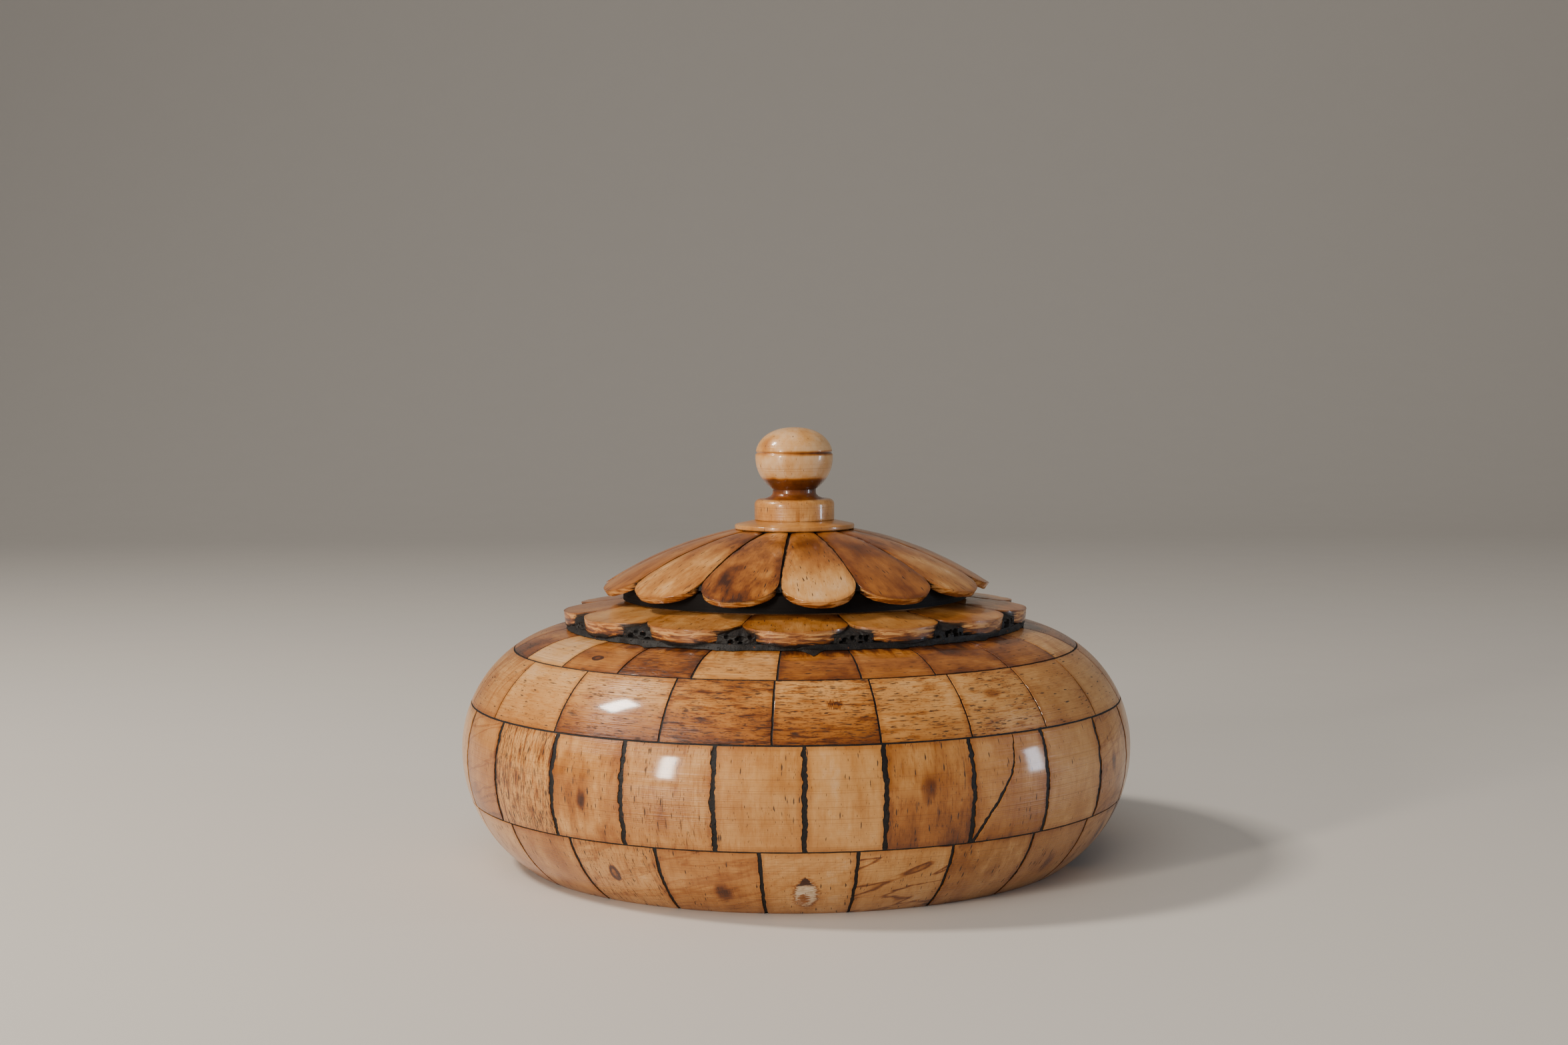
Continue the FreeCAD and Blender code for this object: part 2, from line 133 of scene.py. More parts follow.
class FinialProps(bpy.types.PropertyGroup):
    disc_radius: length("Disc radius", "Radius of the disc under the finial", 10.8)
    disc_bottom: length("Disc bottom", "Underside of the disc", 58.47)
    disc_edge: length("Disc edge", "Thickness of the disc's rim", 0.8)
    disc_top: length("Disc top", "Top of the disc", 60.02)
    base_radius: length("Drum radius", "Radius of the drum", 7.2)
    base_round: length("Drum rounding", "Rounding of the drum's upper edge", 1.0)
    base_top: length("Drum top", "Top of the drum", 63.82)
    neck_foot: length("Neck foot", "Radius of the neck on the drum", 5.4)
    neck_radius: length("Neck radius", "Radius of the neck's waist", 3.9)
    neck_top: length("Neck top", "Where the neck meets the ball", 65.52)
    ball_radius: length("Ball radius", "Radius of the ball", 7.0)
    ball_centre: length("Ball centre", "Height of the ball's middle", 71.33)
    ball_top: length("Ball top", "Top of the ball", 76.7)
    groove_height: length("Groove height", "Turned line over the ball's middle", 0.8)
    groove_depth: length("Groove depth", "Depth of the turned line", 0.3)
    hole_radius: length("Hole radius", "Hole for the dowel", 2.05)
    hole_depth: length("Hole depth", "Depth of the hole in the ball", 5.2)


class FinishProps(bpy.types.PropertyGroup):
    bone_white: colour("White bone", "Bleached bone", 0.62, 0.38, 0.19)
    bone_pale: colour("Pale bone", "Clean bone", 0.55, 0.275, 0.087)
    bone_tan: colour("Tan bone", "Bone with a little stain", 0.43, 0.182, 0.042)
    bone_honey: colour("Honey bone", "Stained bone", 0.305, 0.102, 0.0145)
    bone_amber: colour("Amber bone", "Strongly stained bone", 0.15, 0.038, 0.004)
    bone_brown: colour("Brown bone", "Scorched bone", 0.042, 0.011, 0.003)
    pore: colour("Pores", "Dirt in the bone's pores", 0.028, 0.010, 0.004)
    mastic: colour("Mastic", "Black filler", 0.006, 0.005, 0.005)
    mastic_dust: colour("Mastic, dusty", "Greyed filler", 0.022, 0.017, 0.014)
    wood: colour("Core wood", "Turned wood of the core", 0.33, 0.165, 0.07)
    wood_dark: colour("Core wood, dark", "Late wood and pores", 0.14, 0.058, 0.022)
    dowel: colour("Dowel wood", "Pin through the finial", 0.52, 0.34, 0.17)
    lacquer: share("Lacquer", "Strength of the clear lacquer", 0.5)
    lacquer_blur: share("Lacquer blur", "Roughness of the clear lacquer", 0.1)


class StageProps(bpy.types.PropertyGroup):
    floor: colour("Floor", "Colour of the floor", 0.60, 0.57, 0.53)
    sky: colour("Surroundings", "Light from all round", 0.50, 0.48, 0.46)
    sky_strength: share("Surroundings strength", "Strength of the light from all round", 0.4)
    floor_size: length("Floor size", "Width of the floor", 3200.0)


class MosaicProps(bpy.types.PropertyGroup):
    body: PointerProperty(type=BodyProps)
    collar: PointerProperty(type=CollarProps)
    lid: PointerProperty(type=LidProps)
    finial: PointerProperty(type=FinialProps)
    finish: PointerProperty(type=FinishProps)
    stage: PointerProperty(type=StageProps)


@dataclass(frozen=True)
class Look:
    """How one piece of bone looks. Places are in millimetres from its middle, across and along its grain."""

    tone: float                           # 0 pale to 1 brown
    streaks: float                        # how many dark pores
    mottle: float                         # how blotchy
    fade: float = 0.0                     # stain that grows towards the lower edge, or a petal's inner end
    spot: tuple = (0.0, 0.0, 0.0, 0.0)    # place, radius, and a stain's strength or a kind
    vein: float = 0.0                     # wavy brown veins
    seep: float = 0.0                     # brown that crept in from the upper edge


KNOT, SCAR, STROKES = -1.0, 2.0, 3.0    # kinds of spot other than a stain, whose strength is up to 1

PALE = Look(0.10, 0.25, 0.18)
CREAM = Look(0.20, 0.35, 0.22)
TAN = Look(0.30, 0.40, 0.28)
HONEY = Look(0.46, 0.45, 0.36)
AMBER = Look(0.60, 0.45, 0.42)
BROWN = Look(0.72, 0.60, 0.45)
KINDS = (PALE, CREAM, CREAM, TAN, TAN, HONEY, AMBER)
WARM_KINDS = (CREAM, TAN, HONEY, HONEY, AMBER, AMBER, BROWN)


@dataclass(frozen=True)
class Course:
    """One row of tiles: the joints at the front, in degrees, and how the row is cut."""

    name: str
    front_joints: tuple
    back_tiles: int
    gap: float           # width of a joint at the belt
    ragged: float        # how far the tiles' sides wander
    upright: bool        # the bone's grain runs up the wall, or round it
    front: tuple         # looks of the front tiles, from the left
    kinds: tuple         # looks that the other tiles take
    rows: int
    columns: int
    seed: int

    def joints(self):
        """All joints in degrees, from the first one at the front round to the same one again."""
        step = (360.0 + self.front_joints[0] - self.front_joints[-1]) / self.back_tiles
        back = [self.front_joints[-1] + step * k for k in range(1, self.back_tiles + 1)]
        return list(self.front_joints) + back

    def looks(self):
        """One look for each tile, from the first joint on."""
        chance = random.Random(self.seed)
        looks = list(self.front)
        while len(looks) < len(self.joints()) - 1:
            kind = chance.choice(self.kinds)
            spot = (chance.uniform(-3, 3), chance.uniform(-4, 4), chance.uniform(0.8, 2.0),
                    chance.choice((0.0, 0.0, 0.55, 0.9)))
            looks.append(replace(kind, tone=kind.tone + chance.uniform(-0.05, 0.05),
                                 streaks=kind.streaks * chance.uniform(0.5, 1.8),
                                 fade=chance.choice((0.0, 0.0, 0.12, 0.22)), spot=spot,
                                 vein=chance.choice((0.0, 0.0, 0.0, 0.5)),
                                 seep=self.front[-1].seep * chance.uniform(0.3, 1.0)))
        return looks


COURSES = (
    Course("foot", (-54.0, -38.6, -22.5, -5.7, 9.5, 25.1, 41.1, 56.0), 16, 0.62 * MM, 0.16 * MM, True, (
        replace(HONEY, tone=0.38),
        replace(CREAM, streaks=0.95, spot=(-1.0, 1.6, 1.0, KNOT), vein=0.35),
        replace(TAN, spot=(1.6, -1.0, 1.5, 0.9), vein=0.4),
        replace(CREAM, tone=0.16, spot=(-0.4, -1.3, 1.65, SCAR), vein=0.2),
        replace(CREAM, vein=1.5),
        replace(TAN, tone=0.36, mottle=0.5),
        replace(TAN, tone=0.36, spot=(0.5, 0.0, 1.6, 0.7)),
    ), KINDS, rows=34, columns=16, seed=11),
    Course("belt", (-56.8, -41.2, -27.5, -12.5, 1.2, 13.5, 27.9, 42.7, 58.0), 17, 0.9 * MM, 0.33 * MM,
           True, (
        replace(CREAM, tone=0.22, streaks=2.4, spot=(-0.9, 0.2, 1.0, 0.6)),
        replace(TAN, tone=0.33, mottle=0.45, streaks=0.5, spot=(-0.7, -1.6, 1.1, 1.0)),
        replace(TAN, tone=0.27, streaks=0.7, spot=(-0.6, -3.0, 1.5, 0.35)),
        replace(CREAM, tone=0.24, streaks=0.35),
        replace(CREAM, tone=0.17, streaks=0.25),
        replace(HONEY, tone=0.33, streaks=0.6, fade=0.24, spot=(-0.6, 1.2, 1.4, 0.7)),
        replace(TAN, tone=0.30, fade=0.12),
        replace(CREAM, tone=0.22, streaks=0.2),
    ), KINDS, rows=56, columns=15, seed=12),
    Course("upper", (-60.8, -42.2, -21.8, -3.7, 13.2, 28.7, 44.3, 60.0), 14, 0.36 * MM, 0.09 * MM, False, (
        replace(PALE, tone=0.12, streaks=0.6, fade=0.14),
        replace(CREAM, tone=0.17, streaks=1.1, fade=0.34),
        replace(HONEY, tone=0.35, streaks=2.0, mottle=0.36, fade=0.2),
        replace(CREAM, tone=0.17, streaks=1.9, fade=0.34, spot=(0.9, 1.6, 0.65, STROKES)),
        replace(CREAM, tone=0.17, streaks=1.3, fade=0.1),
        replace(CREAM, tone=0.20, streaks=1.3, spot=(1.2, -0.8, 1.0, 0.7)),
        replace(CREAM, tone=0.26, streaks=0.5),
    ), KINDS, rows=26, columns=24, seed=13),
    Course("shoulder", (-66.0, -50.3, -34.9, -19.3, -3.3, 12.0, 26.5, 43.9, 61.0), 15, 0.42 * MM, 0.10 * MM,
           False, (
        replace(PALE, tone=0.06, seep=0.3),
        replace(HONEY, tone=0.46, spot=(-2.4, -0.8, 0.75, KNOT), seep=0.4),
        replace(BROWN, tone=0.62, streaks=1.5, mottle=0.6, seep=0.45),
        replace(CREAM, tone=0.18, streaks=0.9, seep=0.4),
        replace(AMBER, tone=0.55, streaks=0.6, seep=0.6),
        replace(HONEY, tone=0.48, seep=0.6),
        replace(AMBER, tone=0.58, spot=(0.4, 0.0, 2.0, 0.6), seep=0.6),
        replace(AMBER, tone=0.56, seep=0.55),
    ), WARM_KINDS, rows=22, columns=22, seed=14),
)

COLLAR_JOINTS = (-69.5, -41.2, -13.8, 13.8, 39.5)
COLLAR_LOOKS = (
    replace(TAN, tone=0.24),
    replace(TAN, tone=0.30, vein=0.3),
    replace(HONEY, tone=0.36, fade=0.2),
    replace(TAN, tone=0.28),
    replace(HONEY, tone=0.38),
)
COLLAR_DRIPS = ((3.8, 3.0, 3.2), (-15.0, 0.9, 5.0), (-36.0, 1.4, 4.0), (25.0, 0.8, 5.0), (49.0, 1.2, 4.0),
                (118.0, 1.6, 4.0), (170.0, 1.1, 5.0), (-128.0, 1.8, 4.0))    # turn, reach in mm, half width
LID_JOINTS = (-59.2, -31.0, -4.8, 19.8, 46.9)
LID_LOOKS = (
    replace(TAN, tone=0.22, mottle=0.5, fade=0.35),
    replace(HONEY, tone=0.55, mottle=0.7, streaks=0.5, spot=(-2.0, 6.0, 3.4, 0.5)),
    replace(CREAM, tone=0.12, mottle=0.25, streaks=0.4, fade=0.4, spot=(0.6, -1.6, 4.4, 0.6)),
    replace(AMBER, tone=0.60, mottle=0.35, streaks=0.3, spot=(0.5, -2.0, 3.0, 0.3)),
    replace(TAN, tone=0.34, mottle=0.5, fade=0.3),
)
BACK_PETALS = 9
COLLAR_SEED, LID_SEED = 40, 60


def petal_spans(front_joints):
    """Turn of each petal's middle line and half its width, in radians, round from the front's left."""
    step = (360.0 + front_joints[0] - front_joints[-1]) / BACK_PETALS
    joints = list(front_joints) + [front_joints[-1] + step * k for k in range(1, BACK_PETALS + 1)]
    return [(math.radians(a + b) / 2, math.radians(b - a) / 2) for a, b in zip(joints, joints[1:])]


class Value:
    """A shader socket that is worked with like a number: each operator adds a Math node."""

    def __init__(self, finish, socket):
        self.finish = finish
        self.socket = socket

    def out(self, key):
        """Another output of the same node."""
        return Value(self.finish, self.socket.node.outputs[key])

    def math(self, operation, first, second=0.0):
        return self.finish.node("ShaderNodeMath", {"operation": operation}, {0: first, 1: second})

    def __add__(self, other):
        return self.math("ADD", self, other)

    def __sub__(self, other):
        return self.math("SUBTRACT", self, other)

    def __rsub__(self, other):
        return self.math("SUBTRACT", other, self)

    def __mul__(self, other):
        return self.math("MULTIPLY", self, other)

    def __truediv__(self, other):
        return self.math("DIVIDE", self, other)

    def __abs__(self):
        return self.math("ABSOLUTE", self)

    def __lt__(self, other):
        return self.math("LESS_THAN", self, other)

    def __gt__(self, other):
        return self.math("GREATER_THAN", self, other)

    __radd__ = __add__
    __rmul__ = __mul__

    def ease(self, start, end):
        """0 at start, 1 at end and a smooth way between; start may be the larger one."""
        return self.finish.node("ShaderNodeMapRange", {"interpolation_type": "SMOOTHSTEP"},
                                {"Value": self, "From Min": start, "From Max": end})


class Finish:
    """One material and the nodes in front of its shader."""

    def __init__(self, name):
        self.material = bpy.data.materials.new(name)
        self.material.use_nodes = True
        self.tree = self.material.node_tree
        self.shader = self.tree.nodes["Principled BSDF"]

    def node(self, kind, settings=None, inputs=None, output=0):
        """A new node: its settings, then the values or links of its sockets. Gives one of its outputs."""
        made = self.tree.nodes.new(kind)
        for key, value in (settings or {}).items():
            if key == "stops":
                self.set_stops(made.color_ramp, value)
            else:
                setattr(made, key, value)
        self.fill(made, inputs or {})
        return Value(self, made.outputs[output])

    def fill(self, made, inputs):
        for key, value in inputs.items():
            if isinstance(value, Value):
                self.tree.links.new(value.socket, made.inputs[key])
            else:
                made.inputs[key].default_value = value

    @staticmethod
    def set_stops(ramp, stops):
        """stops is a row of (place, colour)."""
        while len(ramp.elements) < len(stops):
            ramp.elements.new(1.0)
        for element, (place, tint) in zip(ramp.elements, stops):
            element.position = place
            element.color = (*tint, 1.0)

    def surface(self, **inputs):
        """Values and links of the shader itself; an underscore stands for a blank."""
        self.fill(self.shader, {key.replace("_", " "): value for key, value in inputs.items()})
        return self.material

    def attribute(self, name):
        return self.node("ShaderNodeAttribute", {"attribute_name": name}, output="Vector")

    def parts(self, vector):
        split = self.node("ShaderNodeSeparateXYZ", None, {0: vector})
        return split, split.out("Y"), split.out("Z")

    def stretch(self, vector, *scale):
        return self.node("ShaderNodeVectorMath", {"operation": "MULTIPLY"}, {0: vector, 1: scale})

    def noise(self, vector, detail=2.0, roughness=0.5, warp=0.0):
        return self.node("ShaderNodeTexNoise", None, {"Vector": vector, "Scale": 1.0, "Detail": detail,
                                                      "Roughness": roughness, "Distortion": warp})

    def cells(self, vector):
        return self.node("ShaderNodeTexVoronoi", None, {"Vector": vector, "Scale": 1.0})

    def dashes(self, vector, across, along, share, least, most):
        """Lens-shaped marks along the grain, in a share of the cells, each of a size between two."""
        cells = self.cells(self.stretch(vector, across, along, across))
        picked = self.node("ShaderNodeSeparateColor", None, {0: cells.out("Color")})
        size = least + (most - least) * picked.out("Green")
        return cells.ease(1.1 * size, 0.45 * size) * picked.ease(1.0 - share, 1.02 - share)

    def mix(self, factor, first, second):
        """Two colours mixed."""
        settings = {"data_type": "RGBA", "clamp_factor": True}
        first, second = (c if isinstance(c, Value) else (*c, 1.0) for c in (first, second))
        return self.node("ShaderNodeMix", settings, {0: factor, 6: first, 7: second}, output=2)

    def ramp(self, value, *stops):
        return self.node("ShaderNodeValToRGB", {"stops": stops}, {0: value})

    def bump(self, height, strength, distance):
        inputs = {"Height": height, "Strength": strength, "Distance": distance}
        return self.node("ShaderNodeBump", None, inputs)

    def place(self):
        """Where a point lies on the object, in millimetres."""
        coords = self.node("ShaderNodeTexCoord", None, None, "Object")
        return self.stretch(coords, 1 / MM, 1 / MM, 1 / MM)


CHALK_DIM, CHALK_WHITE = (0.46, 0.32, 0.19), (0.74, 0.61, 0.44)    # torn bone in a scar
HOLE_BLACK = (0.002, 0.002, 0.002)                                 # painted shade in the mastic's pores
SPOT_STRETCH = 1.8                                                 # a spot's length over its width
RIM_PAINTED_SHADE = (30.4, 30.8)    # mm from the axis, from where to where the lid's rim turns black: painted shade under the petals' tips


def bone_finish(name, props, lathe=0.0, rim=False, turned=False):
    """Polished bone: stained by tone, with pores along the grain, spots, veins and clear lacquer."""
    f = Finish(name)
    place = f.place()
    x, y, z = f.parts(place)
    if turned:
        grain = f.node("ShaderNodeCombineXYZ", None, {0: x, 1: z, 2: y})
    else:
        grain = f.node("ShaderNodeUVMap", {"uv_map": "grain"})
    across, along, edge = f.parts(f.attribute("local"))
    tone, streaks, mottle = f.parts(f.attribute("mood"))
    vein, seep, height = f.parts(f.attribute("trait"))
    fade = f.node("ShaderNodeAttribute", {"attribute_name": "mood"}, output="Alpha")
    spot_across, spot_along, spot_radius = f.parts(f.attribute("spot"))
    spot_kind = f.node("ShaderNodeAttribute", {"attribute_name": "spot"}, output="Alpha")

    cloud = f.noise(f.stretch(grain, 0.22, 0.13, 0.22), 4.0, 0.6)
    ripple = f.noise(f.stretch(grain, 1.1, 0.5, 1.1), 3.0, 0.6)

    # Pores along the grain: dashes and slits full of dirt, brown specks, and fine lines and bands of stain
    wander = f.node("ShaderNodeVectorMath", {"operation": "ADD"},
                    {0: grain, 1: f.stretch(ripple.out("Color"), 0.4, 0.8, 0.0)})
    patches = cloud.ease(0.25, 0.6)
    crowd = streaks * patches
    pores = f.dashes(wander, 3.3, 0.62, 0.4 * crowd, 0.16, 0.52)
    slits = f.dashes(wander, 4.4, 0.36, 0.36 * (streaks - 0.4) * patches, 0.24, 0.5)
    specks = f.dashes(grain, 4.8, 1.5, 0.5 * crowd, 0.18, 0.42)
    fine = f.noise(f.stretch(grain, 5.0, 0.45, 5.0), 2.0, 0.65).ease(0.56, 0.70)
    bands = f.noise(f.stretch(grain, 1.4, 0.2, 1.4), 3.0, 0.6).ease(0.48, 0.72)

    # Spots: a soft oval stain, a knot with a dark ring, a chalky scar with a dark cap, or strokes
    reach_across = (across - spot_across) / spot_radius
    reach_along = (along - spot_along) / (spot_radius * SPOT_STRETCH)
    away = f.node("ShaderNodeMath", {"operation": "SQRT"},
                  {0: reach_across * reach_across + reach_along * reach_along})
    away = away + (ripple - 0.5) * 0.6
    is_scar = (spot_kind > SCAR - 0.5) * (spot_kind < SCAR + 0.5)
    stain_spot = away.ease(1.25, 0.25) * spot_kind * (spot_kind < SCAR - 0.5) * (spot_kind > 0.0)
    knot = away.ease(1.15, 0.8) * (1.0 - 0.55 * away.ease(0.7, 0.35)) * (spot_kind < KNOT + 0.5)
    grain_across, grain_along, _ = f.parts(grain)
    slant = f.node("ShaderNodeCombineXYZ", None,
                   {0: grain_across * 0.7, 1: (grain_along - 0.18 * grain_across) * 4.2})
    scrape = f.noise(slant, 2.0, 0.6)
    torn = away + (scrape - 0.5) * 1.5
    scar = torn.ease(1.1, 0.92) * is_scar
    heart_across, heart_along = 1.6 * (reach_across + 0.2), 2.0 * (reach_along + 0.42)
    scar_heart = (heart_across * heart_across + heart_along * heart_along
                  + 4.5 * (scrape - 0.5)).ease(1.2, 0.5) * scar
    peak = reach_along + 0.8 * abs(reach_across + 0.1) + 0.5 * (ripple - 0.5)
    cap = peak.ease(1.5, 1.3) * (reach_along + 0.5 * (scrape - 0.5)).ease(0.72, 0.86) * is_scar
    scar_edge = torn.ease(1.4, 1.08) * (1.0 - scar) * is_scar
    strokes = f.noise(f.stretch(grain, 0.5, 5.2, 0.5), 1.0).ease(0.42, 0.58)
    patch = (abs(reach_across) + 0.9 * (strokes - 0.5)).ease(1.3, 0.6) * abs(reach_along).ease(1.3, 0.6)
    patch = patch * (spot_kind > STROKES - 0.5)

    # Veins: long wavy lines that climb across the grain; stains from the lower, upper and cut edges
    lay = f.node("ShaderNodeCombineXYZ", None,
                 {0: grain_across * 0.05, 1: (grain_along - 0.3 * grain_across) * 0.24})
    veins = 1.0 - abs(f.noise(lay, 3.0, 0.55, 0.5) - 0.5).ease(0.0, 0.05)
    lower = (height + (ripple - 0.5) * 0.7).ease(0.55, -1.0)
    fingers = f.noise(f.stretch(grain, 0.15, 0.75, 0.15), 3.0, 0.6)
    upper = (height + (fingers - 0.5) * 1.9).ease(0.1, 1.05)
    near_edge = (edge + (ripple - 0.5) * 1.4).ease(1.1, -0.1)

    stain = (tone + mottle * (cloud - 0.5) * 2.6 + 0.16 * (ripple - 0.5) + fade * lower * 1.2 + seep * upper
             + 0.16 * near_edge + (0.28 * fine + 0.22 * bands) * streaks + 0.55 * stain_spot + 0.75 * knot
             + 0.42 * vein * veins * (0.35 + scrape) + 0.35 * scar_heart + 0.45 * scar_edge + 0.9 * cap
             + patch * (0.4 + 0.35 * strokes))
    tint = f.ramp(stain, (0.0, props.bone_white), (0.15, props.bone_pale), (0.3, props.bone_tan),
                  (0.5, props.bone_honey), (0.75, props.bone_amber), (1.0, props.bone_brown))
    chalk = f.mix(scrape.ease(0.35, 0.65), CHALK_DIM, CHALK_WHITE)
    tint = f.mix(scar * 0.9 * (1.0 - scar_heart) * (1.0 - cap), tint, chalk)
    tint = f.mix(specks * 0.7, tint, props.bone_brown)
    pores = f.node("ShaderNodeMath", {"operation": "MAXIMUM"}, {0: pores, 1: slits * 0.85})
    tint = f.mix(pores * 0.92, tint, props.pore)
    relief = 0.2 * ripple - 0.5 * pores - 0.2 * specks - 0.5 * knot - 0.15 * fine - 0.4 * cap
    gloss = 0.22 + 0.16 * cloud + 0.25 * pores
    lacquer = props.lacquer
    if rim:
        layers = f.noise(f.stretch(place, 0.32, 0.32, 2.4), 4.0, 0.62, 0.6)
        side = (edge + (layers - 0.5) * 0.9).ease(0.05, -0.45)
        side_tint = f.ramp(layers + 0.13 * (edge + 1.0), (0.28, props.bone_brown), (0.42, props.bone_amber),
                           (0.52, props.bone_honey), (0.62, props.bone_pale))
        # The sides turn black and dull behind the tips and near the bottom.
        underside = (edge + (layers - 0.5) * 1.8).ease(-1.7, -2.15)
        behind_tip = (height + (layers - 0.5) * 0.5).ease(0.80, 0.64)
        black_sides = underside + behind_tip
        tint = f.mix(side, tint, f.mix(black_sides * 0.95, side_tint, props.mastic))
        relief = relief + side * layers * 1.2
        gloss = gloss + 0.12 * side
        lacquer = props.lacquer * (1.0 - side * black_sides)
    if lathe:
        lines = f.node("ShaderNodeTexNoise", {"noise_dimensions": "1D"},
                       {"W": z * 4.2, "Scale": 1.0, "Detail": 3.0, "Roughness": 0.7})
        relief = relief + lathe * lines
        tint = f.mix(lines.ease(0.54, 0.75) * 0.34, tint, props.bone_amber)
    return f.surface(Base_Color=tint, Roughness=gloss, Specular_IOR_Level=0.3,
                     Normal=f.bump(relief, 0.45, 0.14 * MM),
                     Coat_Weight=lacquer, Coat_Roughness=props.lacquer_blur)


def mastic_finish(name, props):
    """Black filler, lumpy and porous, dull where it is dusty."""
    f = Finish(name)
    place = f.place()
    lumps = f.noise(f.stretch(place, 0.9, 0.9, 0.9), 5.0, 0.7)
    holes = f.cells(f.stretch(place, 1.6, 1.6, 1.6)).ease(0.30, 0.12) * lumps.ease(0.45, 0.65)
    tint = f.mix(lumps.ease(0.45, 0.78), props.mastic, props.mastic_dust)
    # The holes are only a bump: their black is painted shade in the pits.
    tint = f.mix(holes, tint, HOLE_BLACK)
    tint = f.mix(0.7 * f.dashes(place, 1.5, 1.5, 0.07, 0.15, 0.42), tint, props.bone_amber)
    return f.surface(Base_Color=tint, Roughness=0.40 + 0.4 * lumps, Specular_IOR_Level=0.35,
                     Normal=f.bump(lumps - 0.8 * holes, 0.7, 0.3 * MM))


def wood_finish(name, light, dark, mastic=None, seat=0.0):
    """Turned wood with its grain along X and fine tool marks; over the seat it is black with mastic and,
    round the lid's outer rim, with painted shade.
    """
    f = Finish(name)
    place = f.place()
    x, y, z = f.parts(place)
    figure = f.noise(f.stretch(place, 0.035, 0.22, 0.22), 4.0, 0.6, 0.8)
    pores = f.noise(f.stretch(place, 0.35, 4.0, 4.0), 2.0, 0.6).ease(0.60, 0.75)
    bands = f.node("ShaderNodeMath", {"operation": "SINE"}, {0: figure * 38.0})
    radius = f.node("ShaderNodeMath", {"operation": "SQRT"}, {0: x * x + y * y})
    marks = f.node("ShaderNodeTexNoise", {"noise_dimensions": "1D"},
                   {"W": (radius + z) * 3.0, "Scale": 1.0, "Detail": 2.0})
    tint = f.mix(bands.ease(-1.0, 1.0) * 0.45 + pores * 0.5, light, dark)
    rough = 0.48 + 0.15 * figure + 0.12 * marks
    if mastic is not None:
        # Black over the seat and round the outer rim: mastic under the petals, and painted shade on the rim
        # between the petals' tips and the collar.
        mastic_and_painted_shade = (z + (figure - 0.5) * 0.6).ease(seat / MM + 0.05, seat / MM + 0.35)
        tint = f.mix(mastic_and_painted_shade + radius.ease(*RIM_PAINTED_SHADE), tint, mastic)
    return f.surface(Base_Color=tint, Roughness=rough, Specular_IOR_Level=0.1,
                     Normal=f.bump(0.5 * marks - 0.4 * pores, 0.3, 0.15 * MM))


def finishes():
    """The object's materials, made once."""
    made = bpy.data.materials
    if "tile_bone_finish" not in made:
        props = bpy.context.scene.mosaic_box.finish
        seat = bpy.context.scene.mosaic_box.lid.seat_height
        bone_finish("tile_bone_finish", props, lathe=1.5)
        bone_finish("petal_bone_finish", props, rim=True)
        bone_finish("finial_bone_finish", props, lathe=0.5, turned=True)
        mastic_finish("mastic_finish", props)
        wood_finish("core_wood_finish", props.wood, props.wood_dark)
        wood_finish("lid_wood_finish", props.wood, props.wood_dark, props.mastic, seat)
        wood_finish("dowel_wood_finish", props.dowel, props.wood)
    return made


class Skin:
    """The body's outer face: two arcs, both upright at the widest line, turned about the axis.

    A point is given by its turn round the box, its rise along the arc and its depth under the face.
    """

    def __init__(self, body):
        self.radius = body.belt_radius
        self.height = body.belt_height
        self.lower = (body.base_inset ** 2 + body.belt_height ** 2) / (2 * body.base_inset)
        self.upper = body.shoulder_height - body.belt_height

    def arc(self, rise):
        return self.lower if rise < 0 else self.upper

    def out(self, rise, depth=0.0):
        """Distance from the axis."""
        return self.radius - self.arc(rise) + (self.arc(rise) - depth) * math.cos(rise)

    def point(self, turn, rise, depth=0.0):
        out = self.out(rise, depth)
        up = (self.arc(rise) - depth) * math.sin(rise)
        return Vector((out * math.sin(turn), -out * math.cos(turn), self.height + up))

    def place(self, point):
        up = point.z - self.height
        arc = self.arc(up)
        inward = math.hypot(point.x, point.y) - self.radius + arc
        return math.atan2(point.x, -point.y), math.atan2(up, inward), arc - math.hypot(inward, up)

    def climb(self, rise):
        """Distance up the face from the widest line."""
        return rise * self.arc(rise)


def course_limits(body, skin):
    """Lowest and highest rise of each course's tiles."""
    half_low, half_high = body.seam_gap / 2 / skin.lower, body.seam_gap / 2 / skin.upper
    base = -math.asin(body.belt_height / skin.lower)
    crest = math.acos((body.shoulder_edge - skin.radius + skin.upper) / skin.upper)
    return {
        "foot": (base, -body.foot_seam - half_low),
        "belt": (-body.foot_seam + half_low, body.upper_seam - half_high),
        "upper": (body.upper_seam + half_high, body.shoulder_seam - half_high),
        "shoulder": (body.shoulder_seam + half_high, crest),
    }


def wobble(point, size, seed=0.0):
    """Noise from -1 to 1 whose waves are about this long."""
    at = point / size + Vector((seed, seed * 1.7, seed * 2.3))
    return 0.7 * noise.noise(at) + 0.5 * noise.noise(at * 2.7)


def near(value, centre, reach):
    """1 at a centre, falling evenly to 0 at a reach from it."""
    return max(0.0, 1 - abs(value - centre) / reach)


def new_verts(made):
    """The points that an extrusion made."""
    return [part for part in made["geom"] if isinstance(part, bmesh.types.BMVert)]


def spin_patch(bm, skin, limits, rows, start, sweep, columns, depth=0.0):
    """A patch of the skin: a row of points up its arc, spun about the axis."""
    low, high = limits
    column = [bm.verts.new(skin.point(start, low + (high - low) * k / rows, depth)) for k in range(rows + 1)]
    edges = [bm.edges.new(pair) for pair in zip(column, column[1:])]
    bmesh.ops.spin(bm, geom=column + edges, cent=(0, 0, 0), axis=AXIS, angle=sweep, steps=columns,
                   use_merge=abs(sweep) > FULL_TURN - 1e-6)


